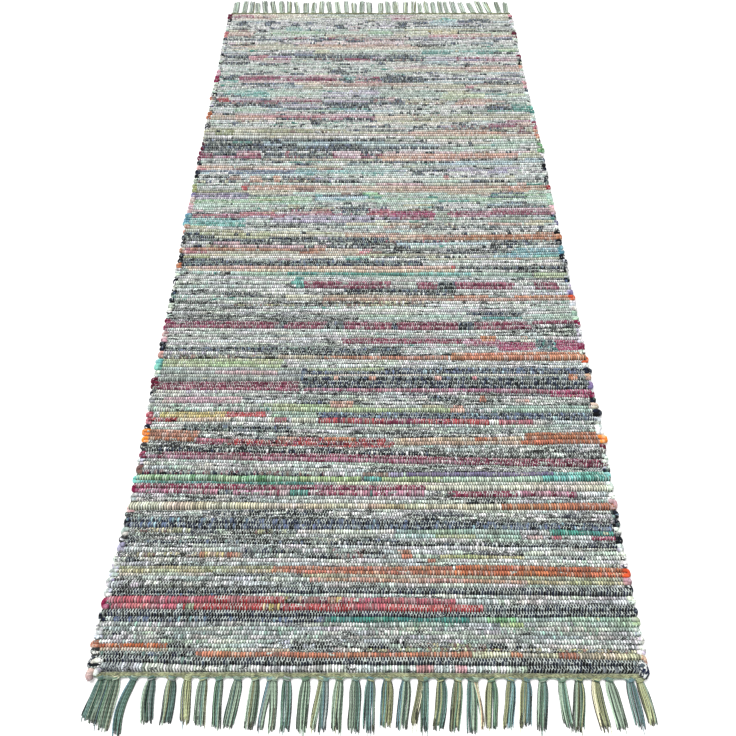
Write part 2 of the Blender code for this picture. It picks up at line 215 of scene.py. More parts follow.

# The rug's stripes, charted one by one. Each line has a band, from one mm along the rug to
# another, and the rags that lie in it, from one mm across to another. A rag such as ash -410
# starts where the one before it ends, and one without places lies right across. An indented
# line goes on with the band above it. Later rags lie over earlier ones. A + is a lighter
# shade.
CHART = """
0-7 white 0-540
0-11 flecked 14-60
0-6 pink 408-425, pink 455-470, slate 545-700, navy 600-640
8-15 navy
9-16 slate 60-140
16-21 slate 0-130
15-21 coral 130-480, sand -700
15-20 coral 525-545, coral 590-612
21-27 sand 0-90, grey -130
21-26 cream 130-250, bark 340-700
27-32 orange 0-88, black 92-118
26-31 white 140-240, black 246-262, black 280-296, black 312-330, black 345-398, bark -500, black -522
25-30 black 538-560
31-36 white 140-250, flecked -470, opal 345-378, black -392
36-55 pale
41-45 black 12-30, black 70-92
50-55 lime 518-546
49-55 mint 610-700
56-61 blue 10-287
56-62 teal 287-475, mint -700
57-60 green 500-540
62-69 navy 0-500
61-75 navy 500-700
69-77 red 100-500
70-77 rose 10-100
69-77 sand 106-118, russet 206-238, rose 322-370
78-86 rose 0-140, red -235
77-85 russet 235-310, rose -465, red 318-335
77-90 white 465-530
75-87 white 520-700
86-91 slate 0-180
85-90 white 190-520
90-97 navy
97-104 flecked 0-360
97-103 white 360-560
104-109 white 40-270
103-109 salmon 270-560
99-105 khaki 560-700
110-115 cream 10-130, flecked -260
108-114 sand 260-560
104-110 sand 560-700
116-124 khaki 0-215
113-123 coral 215-465
110-125 orange 465-700
124-132 white
124-130 black 62-92
131-136 khaki 450-560
128-134 coral 425-440
135-143 coral 392-404
138-144 russet 60-112, coral 115-122, russet -150, coral -156, russet -172
130-137 slate 12-32
137-144 bark 30-112
140-147 slate 175-250
133-140 navy 256-300
133-146 maroon 300-372
137-148 flecked 480-560
131-138 black 612-642
146-151 white 100-700
151-157 slate 0-290, black -540
148-154 navy 540-700
157-162 slate 310-390
157-164 magenta 655-690
158-166 pink 565-590
160-166 rose 600-615
160-172 flecked 0-250, mint 385-560
160-166 lime 440-500
165-172 cream 250-380
169-175 bark 20-100
166-172 bark 170-250
164-169 teal 600-690
171-177 mint 450-560
174-190 blue
186-197 flecked 110-700
190-197 flecked 0-110
191-195 black 130-165, black 180-195
190-195 black 235-295
188-192 black 425-440
196-200 black 165-300, white -540
199-209 sand 0-540
200-208 tan 345-400
197-209 orange 540-700
209-216 flecked 0-180
208-218 white 190-480
206-210 black 485-540
214-221 flecked 0-130
213-219 white 130-430
212-219 flecked 430-700
219-227 mauve 0-430
218-228 slate 132-150
219-227 teal 236-260, teal 348-356
218-226 flecked 430-460
217-226 wine 460-565, mauve -650
227-236 wine 0-430
226-240 cream 430-700
237-242 aqua 0-30, teal -265
235-240 cream 300-430
242-250 green+ 0-250, lime -340
239-247 teal 338-370
239-246 lime 370-460
238-246 mint 460-600
239-252 aqua 600-700
249-257 maroon 0-285
247-253 brown 340-378
245-254 lilac 378-400
245-253 purple 400-620
258-263 flecked
263-268 white 0-350
268-275 mauve
275-282 wine 40-480
262-273 wine 480-700
281-287 black 20-440
274-292 flecked 440-700
287-293 flecked 0-440
301-309 orange 0-85
309-317 coral 0-90
294-302 wine 85-130, brick -385
301-308 rose 85-132
300-306 salmon 208-240, brick -280, orange -330, brick -375
294-307 tan 385-580
300-308 orange 510-542
295-313 orange 580-700
307-318 flecked 90-570
318-328 slate 60-230, pale -700
329-338 brick 270-490, wine 370-400, red 490-530
327-336 rose 550-600
332-338 brick 12-48, tan -130, sand 190-200, rose -222
329-338 sand 222-270
338-349 ochre 20-125, red 127-188
338-347 blue 265-700, mint 195-265
347-355 lime 190-475
348-360 salmon 475-495
350-358 mint 560-690
355-360 lime 180-330
356-366 salmon 290-320
356-360 khaki 425-460
366-376 pink 20-150
362-370 slate 230-280
368-376 slate 440-485
362-371 salmon 575-600
367-377 coral 522-532
376-382 flecked 200-560
374-386 magenta 632-700
382-389 mauve 240-632
386-400 wine 10-235
389-403 navy 240-700
403-410 slate, salmon 285-296, coral 348-356, salmon 452-462, rose 512-518
402-414 orange 665-684
410-414 cream 240-650
404-425 grey 0-240
412-420 pink 100-200
414-425 blue 240-700
421-432 lime 245-370
428-440 lime 0-205
426-440 white 210-700
440-446 tan 0-270
440-447 coral 270-480
437-451 orange 480-700
446-452 bark 0-200, black -400
452-462 slate 0-400, pale -700
470-481 wine 305-505
466-478 mauve 505-560
459-474 magenta 560-620
455-475 lagoon 622-655
458-474 magenta 658-700
476-482 orange 535-560, orange 603-614
482-496 pale 0-530
497-512 wine 0-620, slate 190-206, slate 272-305, slate 382-392, slate 500-520
508-516 wine 620-700
512-527 flecked 10-330
516-527 mint 330-510
519-524 teal 540-610
526-534 navy 510-610
514-530 mint 610-700
542-548 bark 110-220
545-553 bark 270-440
555-567 sand 200-270
555-561 salmon 270-700
561-567 tan 270-490
561-568 coral 490-560
561-567 orange 600-700
567-573 black 90-230
567-572 black 290-330, black 415-480
574-581 slate 300-500
570-580 white 140-230
581-596 wine 228-385
588-596 grey 385-430
581-596 wine 430-470, slate -500
581-592 wine 500-600, wine 640-680
584-604 teal 213-228
604-616 mint 100-640
609-615 teal 200-410
607-616 aqua 410-530
604-617 lime 640-700
616-622 tan 20-505
622-630 salmon 20-505
620-630 red 493-505
620-632 slate 510-700
630-642 slate 0-440
642-647 white, slate 0-85, pale 90-180, pink 183-208, slate 225-282, navy 250-275, teal 305-330,
  slate 335-350, sand 450-700, coral 608-620
647-652 cream 0-300, olive 0-58, mint 300-350, bark -440, khaki -530, black 378-402, black 430-448,
  black 470-520, lilac 530-565, cyan 575-660, aqua 640-700
652-657 cream 0-220, khaki 30-120, tan 220-320, coral 318-345, khaki -500, pale -575, teal 590-620,
  cyan 600-700
657-663 rose 0-55, sand -225, coral 222-262, tan -330, rose -345, brown -372, flecked 375-575,
  black 385-397, black 405-417, black 434-445, cyan 575-700, slate 575-612
663-669 coral 0-268, rose 0-20, brown 205-235, tan 268-330, pink -352, flecked -610, black 385-400,
  black 410-418, black 490-500, cyan 610-700, sky 675-700
669-676 white, pink 60-270, black 22-44, bark -85, black 140-148, black 228-243, black 272-288,
  black 303-316, slate 325-350, black 380-396, slate 405-425, minty 420-640, black 548-585, black 600-612
676-683 flecked, white 8-50, pink 60-110, slate 180-200, slate 280-300, slate 315-345, sky 400-570,
  slate 590-610, navy 605-622, slate -660
683-689 slate 0-370, opal 8-50, black 155-168, black 262-276, black 368-382, maroon 380-500,
  black 495-535, ash -600, maroon -700, navy 600-640
689-695 slate 0-380, navy 10-45, denim 100-160, lilac 250-275, black 335-380, salmon 385-450, orange -700,
  coral 450-520
695-701 slate 0-62, khaki -160, khaki+ -300, salmon -450, coral -700, orange 530-700
701-706 slate 0-60, olive 30-160, khaki 90-300, black 98-104, black 118-122, black 215-228,
  salmon 300-400, cream -700, brown 395-402, black 488-504, black 520-536, black 572-585, black 600-612,
  coral 655-700
706-711 cream 0-110, khaki 20-150, olive 100-135, pale -380, sky -430, ash -442, white -700,
  black 605-612, black 628-636
711-716 cream 0-140, khaki 30-110, white 140-420, slate 247-257, slate 345-355, ash 418-640,
  black 505-515, slate 560-580, white 640-700, black 664-672, black 688-698
716-723 cream 0-230, khaki 8-40, ash 62-160, pale 230-375, ash 262-300, salmon 375-395, pale -420,
  brown -446, ash -660, bark 500-515, slate 664-680
723-730 aqua 0-112, teal 30-60, teal 85-112, ash -300, khaki -385, tan -445, bark -500, pale -700,
  salmon 572-640, khaki -680
730-737 aqua 0-112, minty -162, lilac+ -275, lilac -362, cream -400, white 380-420, minty -700,
  mint 572-640, khaki 650-690
737-744 aqua 0-85, teal 60-112, slate 86-100, opal 112-160, lilac -370, navy 206-214, navy 266-274,
  navy 312-317, navy 350-357, purple 362-405, black 378-385, mauve 405-470, slate 437-456, minty 470-700,
  black 537-545, sage 575-660
744-749 mauve 0-120, maroon 20-60, lilac 120-360, mauve 160-185, mauve 360-410, wine -468, sage 470-500,
  mauve -575, lilac -600, ash -700
749-755 mauve 0-340, rose 15-60, rose 100-170, ash 295-312, ash 318-345, magenta -470, rose 345-372,
  sage 470-497, wine -700, mauve 540-600
755-760 mauve 0-190, pink -245, rose -275, denim 293-305, ash -345, wine -475, rose 365-400, sage 475-500,
  mauve -690, wine 575-640
760-766 pale, pink 0-30, bark 160-205, maroon 200-295, brown 240-262, navy 296-312, slate 318-345,
  mauve -385, wine 366-378, bark 420-470, black 475-490, ash -575, pink 578-690
766-771 minty 0-190, bark 185-290, black 220-235, slate 292-340, minty -575, black 372-382, black 468-487,
  white -575, slate -690, black 600-660
771-777 minty 0-575, mint 0-120, khaki 195-215, ash 300-360, khaki 410-470, opal 500-560, sky 575-690,
  ash 640-690
777-782 mint, black 76-84, black 128-136, ash 240-360, black 295-312, ash 480-560, slate 605-655
782-787 green+ 0-240, mint -700, teal 480-545, green+ -600
787-792 green+ 0-240, lime 110-180, cyan+ 240-342, mint -700, green+ 380-480, green+ 545-700
792-797 lilac 0-112, mint -130, green+ -240, sky -345, teal -372, mint -700, teal 460-480, slate 582-652,
  green+ -700
797-802 purple 0-112, navy 36-46, denim 80-100, ash 112-240, teal -345, slate 255-335, green 345-375,
  minty -700, sand 560-585, green+ 600-700
802-807 lilac 0-112, mint -290, sand 112-200, brown 288-312, green 335-362, black 360-378, mint -700,
  tan 500-590, slate 588-650
807-812 olive 0-200, khaki 95-200, sand -350, brown 208-240, mint 335-360, tan 350-600, brown 610-625,
  salmon -660, mint -700
812-818 sage 0-92, red 94-110, salmon -205, brown -245, tan -700, salmon 410-500, coral 620-660
818-825 minty 0-92, red 94-110, coral -235, salmon -700, tan 330-450, coral 620-645
825-832 minty 0-340, pink 94-112, pink 360-455, sand -620, minty -700, salmon 640-660
832-840 bark 0-240, black 20-60, slate 70-85, pale -108, coral 118-130, coral 155-168, slate 240-330,
  black 270-325, pale 330-700, mint 450-520, slate 548-615, ash 640-700
840-846 ash 0-340, brown 60-90, salmon 110-134, black 140-150, salmon 152-172, maroon -238, opal 240-330,
  cream 340-640, pale -700, salmon 498-508, black 678-692
846-852 pale, black 12-68, salmon 70-90, salmon 110-135, coral 152-168, black 176-194, black 200-216,
  black 220-232, slate 330-338, rose 495-502, black 528-540, ash 550-600, khaki 620-640
852-857 white, sky 85-220, teal -238, minty -420, teal 345-356, teal 370-380, slate 430-455,
  black 470-482, black 495-505, opal -640, black 628-640
857-863 sky 0-85, denim 60-200, white 25-60, cyan 200-235, aqua+ -420, mint 380-420, slate 430-455,
  opal -700, lilac 585-625
863-868 denim 0-200, cyan -240, sky -420, aqua 260-300, slate 435-590, lilac 500-620, purple 600-620,
  opal 660-700
868-874 salmon 0-195, rose 0-20, brown 75-110, mint 195-245, tan 240-290, brown 270-290, mint -430,
  ash -520, lilac -660, ash 560-600, pale 660-700
874-880 salmon 0-75, tan -290, khaki 240-290, minty -430, sage 420-560, pale -700
880-887 minty 0-480, cream 0-60, slate 198-226, sky 300-332, sky 480-640, pale -700
887-893 minty 0-330, ash 28-60, slate 150-168, slate 255-268, ash 300-330, slate -520, black 345-378,
  black 425-500, sky 520-700
893-900 pale, slate 60-70, black 85-97, bark -150, khaki -360, salmon 370-560, tan 400-430, bark 530-600,
  sage -660, black 628-642, sky 662-700
900-908 mauve 0-122, wine 10-30, wine 80-122, ash -170, wine 172-182, maroon -290, mauve 270-365,
  wine 330-345, coral 365-650, sand -700
908-915 wine 0-125, slate 25-75, rose -120, black 128-135, slate -260, wine 172-182, black 255-265,
  wine 268-280, pink -330, maroon -365, wine 362-374, coral -655, salmon 374-450, khaki 655-700
915-922 white, ash 0-75, mauve -122, black 128-136, rose 172-180, black 222-236, black 255-266,
  pink 268-330, black -342, pink 380-700, black 400-410, black 465-484, bark 520-532, bark 556-592,
  bark 606-616, black 626-634, bark 676-700
922-928 slate 0-380, ash -410, white -490, mint -545, pale -700, slate 668-682
928-936 slate 0-490, black 372-386, black 410-470, sage 490-520, mint -660, green+ 560-600, white 660-700
936-943 slate 0-125, black 62-84, sky 125-490, black 170-195, slate 262-330, minty 490-562, black 525-532,
  black 552-562, mint -660, teal 600-612, white 660-690
943-950 ash 0-125, teal 60-100, sky 125-380, slate 140-162, sage 380-408, white -440, opal -478,
  cream -640, black 510-520, black 552-558, mint 600-700
950-957 slate 0-378, black 300-378, sage -440, black 410-418, black 450-464, cream -700, pale 560-640,
  mint -700
957-966 cream, white 0-60, white 280-400, lime+ 440-620, snow 405-440
966-973 cream 0-345, sand 0-130, khaki 132-186, pink 345-408, tan 405-445, salmon 430-700, tan 560-620
973-980 khaki 0-340, olive 20-60, olive 110-225, bark -292, sand 330-430, salmon -640, coral 540-620,
  brown 655-690
980-986 khaki 0-300, olive 18-62, black 22-30, brown 183-188, ash 300-430, slate 310-325, black 424-442,
  sand -490, salmon -600, bark -660, wine 664-674, khaki -700
986-992 cream 0-425, pale 180-300, ash 425-485, maroon -625, khaki -665, rose -674, sand -700
992-998 pale, slate 132-170, black 140-168, black 196-210, minty -262, slate -276, slate 330-392,
  black 333-342, black 362-376, slate 440-462, maroon 485-630, lilac 500-520, wine 600-660, brown -690
998-1003 minty 0-300, black 55-66, slate 196-212, slate 225-240, cream 300-520, slate 380-392,
  slate 455-470, black 538-552, black 560-575, opal -605, mauve 600-660, brown -690
1003-1009 minty 0-60, slate 55-70, opal -150, slate 154-162, minty -340, black 222-240, cream 340-540,
  ash 500-560, opal -625, slate 622-640, mauve -665, salmon -690
1009-1014 minty 0-62, bark -132, cream -225, black 178-190, ash 225-345, slate -362, khaki -560,
  pale -640, mauve -690
1014-1021 tan 8-62, salmon -150, maroon -255, mauve -358, black 290-350, tan 358-440, bark -480,
  khaki -700
1021-1028 salmon 8-120, coral 60-120, rose -270, mauve -362, tan -450, khaki -700, sand 560-700
1028-1034 pink 10-350, slate 30-55, black 154-162, sand 350-430, black 352-360, black 388-398,
  bark 430-500, lime+ 515-570, bark 575-602, khaki -700
1034-1041 white 0-540, mint 50-140, pink -200, black 193-200, slate 225-255, black 408-430, slate 488-503,
  sage 540-620, black 562-574, white 620-700
1041-1047 pale 0-50, mint -125, green+ 60-120, sky 125-170, mint -290, sky -400, pale -535, slate 522-530,
  sage 540-600, teal -700
1047-1053 minty 0-125, mint 50-110, sky 125-165, slate -350, teal 260-345, black 320-330, opal 350-395,
  sage -480, black 453-460, pale 480-600, black 543-552, slate 600-655, teal -700
1053-1059 ash, black 24-38, black 58-66, mint 70-105, slate -160, lilac -240, white 248-262,
  slate 265-350, black 322-332, opal 350-405, minty 455-500, opal -545, black 543-552, black 568-576,
  slate 600-655, teal -700
1059-1065 ash, slate 15-35, slate 66-150, black 70-88, black 103-115, lilac 150-235, slate 250-345,
  opal 350-395, black 463-470, opal 475-520, pink -600, bark -650, teal 658-700
1065-1072 ash 0-40, maroon -245, black 102-110, slate 245-425, black 270-300, black 365-385, bark 425-512,
  white -532, salmon -600, cream -620, ash -660, mint -700
1072-1078 red 14-38, mauve 40-245, lilac -345, maroon -425, khaki -515, pale -700, salmon 540-640
1078-1084 red 12-40, lilac 42-112, slate -132, pink -242, black 157-163, black 190-196, opal 242-338,
  maroon -370, pink -404, black -420, cream -540, black 433-438, black 463-468, black 488-500,
  lime 505-545, salmon 548-612, ash 620-700
1084-1090 coral 14-36, ash 40-65, opal -140, pink -190, minty -245, slate -262, ash -370, white 300-330,
  black 370-384, pink 385-405, mint 410-700, lime 500-600
1090-1096 slate 0-30, slate 42-88, teal 60-130, mint -245, black 203-211, lilac 245-310, slate -330,
  sky -370, mint -505, black 448-455, lime 505-600, sage -650, lime+ -700
1096-1101 slate 0-20, teal -42, aqua -100, teal -122, mint -245, pale -300, lilac -362, mint -505,
  lime -600, teal -650, lime -700
1101-1106 aqua+ 20-125, teal 88-122, mint -245, lilac -370, mint -700, lime 520-575, sage 600-650,
  white -690
1106-1112 mint 0-160, aqua+ 30-120, minty 160-300, lilac -365, mint -490, bark -572, olive 520-560,
  lilac 572-640, slate 600-640, white -700
1112-1118 minty 0-160, mint 50-120, cream 160-345, slate -360, white -402, ash -420, cream -560, ash -640,
  opal -700
1118-1125 opal 0-150, sky -200, khaki -245, cream -345, sage -400, khaki -560, minty 420-480,
  rose 562-578, sand -700
1125-1132 minty 0-55, opal -95, slate 92-120, sky -200, tan -245, brown -310, salmon -400, tan -480,
  khaki -560, salmon -590, tan -700
1132-1138 minty 0-60, slate -180, black 78-108, tan 180-240, salmon -480, sand 440-530, ash -570,
  bark -700
1138-1143 sky 0-30, teal -52, pink -290, salmon 210-280, slate 290-312, rose -375, slate -470, sky -600,
  slate -700, black 640-700
1143-1149 teal 20-52, mauve 55-180, wine -280, slate -312, maroon -372, slate -475, white -605, ash -700
1149-1154 slate 18-48, wine 50-145, mauve -200, wine -275, navy -300, teal 290-315, maroon -375,
  slate -610, black 410-430, black 520-560, lilac 610-700
1154-1160 slate 16-48, wine 50-142, mauve -240, pink -282, teal -316, pink -350, wine -368, slate -470,
  opal -700, sky 560-610, black 684-694
1160-1166 opal, slate 28-48, pink 60-128, pink 200-282, sky -300, pink 306-330, ash -385, slate -432,
  black 400-420, slate 474-500, slate 535-565, slate 645-690
1166-1171 minty, slate 62-110, black 68-80, white 132-165, slate -195, lime+ 225-250, white 440-590,
  slate 592-612, opal 640-700
1171-1176 minty 0-260, ash 88-130, slate 255-348, black 310-345, sage 348-700, black 450-458,
  slate 472-500, sky 620-700
1176-1182 minty 0-260, opal 170-260, slate 262-290, pale -400, slate 330-350, khaki 400-560,
  brown 568-655, tan 600-700
1182-1188 minty 0-400, ash 170-215, lime 256-266, ash 280-340, salmon 400-700, tan 420-560
1188-1195 minty 0-260, sage 66-205, lime 256-266, pale -400, pink -480, salmon -700, coral 570-640
1195-1200 minty 0-600, cream 380-560, pink 440-480, bark 566-600, salmon -700, pink 660-700
1200-1206 minty, ash 0-40, black 42-68, slate 88-98, black 105-130, black 148-162, slate 274-298,
  slate 366-382, cream -450, slate 522-536, black 553-590, slate 652-678
1206-1212 minty, slate 0-70, ash 90-108, pink -165, mint -225, slate 368-380, cream 385-465, sky -530,
  black 570-582, slate 618-626, black 643-650
1212-1217 opal, black 74-82, pink -165, mint -215, ash 255-290, pink -352, ash -470, sky -530,
  pink 560-700
1217-1224 ash 0-65, rose -105, khaki -122, mauve -168, sage -215, maroon -475, wine 290-345,
  lilac 475-545, mauve -700, purple 560-620
1224-1232 slate 0-65, rose -110, purple 112-170, slate -350, lilac -382, black 384-392, slate -475,
  black 418-430, lilac 475-545, mauve -700
1232-1237 slate 0-465, rose 90-108, denim 172-215, black 225-250, black 385-410, ash 465-560, white -700
1237-1242 opal 0-100, black 102-170, denim -215, ash -460, mint -640, sage -690
1242-1249 sky 0-60, opal -172, lilac -215, khaki 218-260, sage -470, minty 300-440, teal 470-640,
  mint 540-600, slate 640-650, black 670-680
1249-1256 minty 0-215, lime 218-252, mint -470, aqua -650, teal 560-590, green 650-700
1256-1262 cream 0-60, tan 20-50, khaki 60-200, tan 205-250, sand -470, mint -650, lime -700
1262-1267 khaki 0-200, ash 0-60, tan 200-470, sage -600, mint -700
1267-1272 salmon 18-80, khaki -172, salmon -460, coral 205-330, bark 460-520, minty -700
1272-1278 bark 20-78, khaki 80-180, slate 168-176, salmon 180-460, coral 200-300, slate 232-240,
  black 283-290, brown 365-380, black 412-420, bark 440-510, minty -700, black 516-524, slate 628-636,
  black 688-698
1278-1286 pink 10-430, bark 28-75, cream 80-130, white -160, black 203-218, black 270-276, opal 430-700,
  black 541-554, sky 590-640
1286-1293 opal, slate 130-143, slate 216-232, pink -290, slate 292-338, pink -430, black 638-646
1293-1299 slate 8-290, maroon -440, slate -500, ash -640, slate -690
1299-1305 ash 8-110, lilac -220, mauve 140-200, black 222-228, maroon 230-340, pink -440, lilac -640,
  mauve 540-600, purple 640-690
1305-1312 maroon 10-72, black 46-56, slate 84-98, minty -240, tan -340, brown 260-300, sage 340-400,
  bark -450, pale -490, rose -560, tan -640, salmon -690
1312-1318 salmon 8-70, sage -110, mint -240, tan -340, mint -410, tan -440, khaki -490, salmon -640,
  khaki -690
1318-1324 salmon 0-70, minty -110, green -240, sage 130-160, mint 240-345, green -405, khaki -490,
  ochre -560, khaki -700
1324-1330 salmon 0-50, brown -75, pale -135, green+ -225, mint -340, green -400, sage -440, lime -490,
  ochre -560, lime -700
1330-1338 khaki 0-60, brown 30-55, slate 80-100, mint -430, aqua+ 140-225, black 200-208,
  black 255-262, pink 295-325, olive 430-505, khaki -600, sage -700
1338-1345 ash 0-60, opal -400, slate 100-114, aqua+ 140-182, black 200-212, slate 262-290,
  black 366-372, minty 400-490, bark -560, slate -600, khaki -700
1345-1350 opal 0-490, minty 130-180, slate 255-285, pink 295-330, lilac 360-408, navy 412-442,
  black 455-490, ash -700
1350-1356 opal, slate 25-50, slate 92-112, navy 160-180, slate 255-280, slate 300-312, black 350-357,
  navy 412-438, navy 455-462, sky 490-575, black 577-590, black 612-622, ash 640-690
1356-1362 opal, slate 22-48, slate 92-110, slate 165-178, slate 195-210, minty 215-290, slate 318-330,
  slate 412-440, navy 448-490, sky -560, lilac -590, slate 600-615
1362-1367 opal, slate 25-55, denim 62-80, navy 95-124, slate 150-162, slate 190-215, slate 335-345,
  slate 412-490, cyan -560, navy -600, slate 622-645, sky -690
1367-1372 sky 0-95, slate 32-46, navy 98-112, opal 115-500, slate 345-362, white 430-490, cyan 500-560,
  navy 562-600, slate -640, pale -700
1372-1378 cream 0-130, ash -152, sand -240, opal -345, khaki -400, pink -445, minty -520, teal -555,
  slate 590-640, khaki -700
1378-1384 pink 8-70, salmon 20-110, khaki -200, opal -345, sage -400, mauve -445, khaki -700, teal 520-545
1384-1390 mauve 8-60, salmon -120, brown 85-105, tan 120-200, khaki -700, pink 380-450, sand -600
1390-1396 salmon 8-195, rose 20-60, tan 110-195, cream 200-215, sage -400, sand -700, pink 400-460
1396-1404 tan 8-195, sage -700, khaki 480-700
"""
RIGHT_ACROSS = "0-700"

# Rags of the selvedge loops: mm along the edge, the rag, and how far it stands out in mm
# where that isn't the usual. Between them lie loose rags.
LEFT_LOOPS = """
12-22 navy, 25-36 coral 6, 36-62 opal, 62-71 navy, 71-79 magenta, 79-90 pink, 90-138 opal 4,
138-155 lilac, 165-178 grey, 178-188 slate, 188-200 flecked, 200-212 pink, 212-225 grey,
226-240 magenta 4, 240-252 aqua 6, 252-262 brown, 262-275 opal, 275-288 magenta,
288-302 flecked, 303-318 tangerine 5, 318-328 black, 333-350 rose, 350-370 grey, 370-385 slate,
385-402 wine 4, 402-425 pale, 425-445 aqua 6, 445-452 salmon, 452-470 navy, 470-497 pink,
498-516 magenta 4, 516-545 white, 548-565 navy, 585-597 navy, 597-620 opal, 620-630 orange,
630-648 navy, 655-672 coral 4, 683-700 slate, 703-722 salmon, 725-755 cyan 6, 755-790 pink,
790-808 purple, 808-825 olive, 825-850 pale, 850-866 navy, 866-885 pink, 900-922 magenta 6,
925-945 wine, 957-990 sand, 990-1000 black, 1018-1040 orange 6, 1078-1095 coral 5, 1095-1102 black,
1105-1135 white, 1140-1165 magenta 5, 1165-1180 pink, 1225-1243 black, 1243-1290 opal,
1290-1305 slate, 1305-1330 rose, 1340-1365 white, 1380-1395 wine
"""
RIGHT_LOOPS = """
0-12 navy 4, 12-22 salmon, 22-48 opal 4, 48-60 lime, 62-74 navy 4, 74-86 white, 86-98 navy,
98-106 pink, 106-120 flame 5, 120-145 flecked, 148-158 black, 158-178 white, 178-200 slate,
198-208 pink, 208-240 white, 240-255 aqua, 262-274 wine, 276-290 flecked, 290-298 wine,
297-315 tangerine 8, 315-335 opal, 335-350 navy 6, 352-365 tan 6, 374-392 magenta, 392-400 purple,
402-412 salmon, 412-428 navy 6, 437-452 flame 5, 458-473 magenta, 475-500 opal, 503-516 magenta 4,
516-530 mint, 530-555 opal, 553-570 flame 4, 570-597 purple, 600-620 pale, 620-650 black 4,
650-680 cyan, 688-703 orange 4, 703-715 black, 720-740 purple 4, 755-775 pink, 775-805 mint,
810-828 red 4, 840-855 black, 855-870 white 6, 870-900 slate, 920-950 green 6, 960-980 coral,
980-1015 magenta, 1040-1065 teal 4, 1105-1115 slate, 1115-1140 pink, 1185-1200 salmon,
1200-1215 black, 1222-1235 magenta, 1260-1300 pale, 1300-1322 wine 5, 1322-1375 opal, 1380-1395 rose
"""
Loop = namedtuple("Loop", "start stop rag bulge")
USUAL_BULGE_MM = 3.0
LOOSE_BULGE_MM = 2.5
LOOSE_RAGS = ("opal", "white", "pale", "flecked", "slate")
LOOP_RADIUS_MM = 2.9
LOOP_RADIUS_SHARE = (0.88, 1.12)
LOOP_REACH_SHARE = (0.6, 1.3)
LOOP_INSIDE_MM = 9.0
LOOP_SQUARENESS = 2.6
LOOP_TURN = 2.4
LOOP_CRUMPLE = (0.5, 3)
LOOP_UNEVENNESS = (0.14, 2)
LOOP_LIFT_MM = 0.2
LOOP_HEAVE = (0.7, 4)
LOOP_TIP = 0.95
LOOP_TIP_RADIUS = 0.6
LOOP_SIDES = 8
LOOP_STEPS = 13
LOOP_CELLS = (12, 10)

# Fat turns of rag at the near corners: the rag, the points on its way and its radius
CORNER_TURNS = [
    ("white", [(-4, 10, 3.8), (0, 12.5, 4.2), (7, 13, 4.2), (12, 12.5, 3.6)], 3.3),
    ("ink", [(-5, 6.4, 4.6), (0, 7.2, 5.2), (5, 7.4, 5.4), (10, 7, 4.6)], 2.2),
    ("blush", [(1.5, 4.5, 4.2), (-1.2, 0.5, 4.8), (-1.8, -4, 4.4), (0.5, -9, 3.2)], 4.4),
    ("opal", [(11, 4.5, 3.6), (7.5, 1.5, 4.4), (5, -3, 3.6)], 3.8),
    ("knotted", [(688, 10.5, 4.6), (692, 6, 5.2), (692.5, 0, 5.4), (689, -6, 4.8)], 5.8),
]
CORNER_SIDES = 14
CORNER_STEPS = 4
CORNER_ENDS = (0.18, 0.82)
CORNER_UNEVENNESS = (0.08, 3)
CORNER_CELLS = (3, 2)

# The fringe's header: how far out each yarn lies, how high, how much the knots draw it out,
# and its colour
HEADER_YARNS = [
    (0.8, 3.3, 0.1, "header"), (2.3, 4.0, 0.2, "moss"), (3.8, 3.7, 0.5, "header"),
    (5.4, 3.0, 1.0, "sage"), (1.5, 1.5, 0.1, "moss"), (3.1, 1.4, 0.3, "header"),
    (4.7, 1.3, 0.8, "pine"),
]
HEADER_INSET_MM = 4
HEADER_STEP_MM = 2.0
HEADER_YARN_MM = 1.05
HEADER_UNEVENNESS = (0.15, 2)
HEADER_STRAY = (0.4, 4)
HEADER_HEAVE = (0.5, 3)
HEADER_PULL_MM = 2.4
HEADER_SLACK_MM = 0.9
HEADER_PULL_REACH_MM = 4.5
HEADER_MOTTLE = (0.35, 3)
HEADER_TONE = (0.5, 1.25)

# Knots: on each side, yarns drawn in from the header, by how far aside and how far out they
# start, and wraps over them, by how far they lie from the neck and their half width
NECK_REACH_MM = 7.8
KNOT_YARNS = ((3.2, 3.4), (4.6, 4.2), (6.4, 5.0))
KNOT_YARN_MM = 0.75
KNOT_STEPS = 5
KNOT_BEND = 1.3
KNOT_NECK_MM = 2.4
KNOT_JITTER_MM = 0.5
KNOT_HEIGHT_MM = 3.4
KNOT_RISE_MM = 0.9
KNOT_HEIGHT_JITTER_MM = 0.2
KNOT_SPAN_MM = 9
KNOT_TONE = (0.75, 1.1)
WRAPS = ((-3.2, 4.12), (-1.7, 4.57), (-0.2, 4.18))
WRAP_YARN_MM = 0.85
WRAP_STEPS = 7
WRAP_TURN = (0.02, 0.98)
WRAP_SLANT_MM = 1.1
WRAP_FOOT_MM = 0.9
WRAP_RISE_MM = 4.2
WRAP_SQUARENESS = 0.8
WRAP_TONE = (0.85, 1.2)

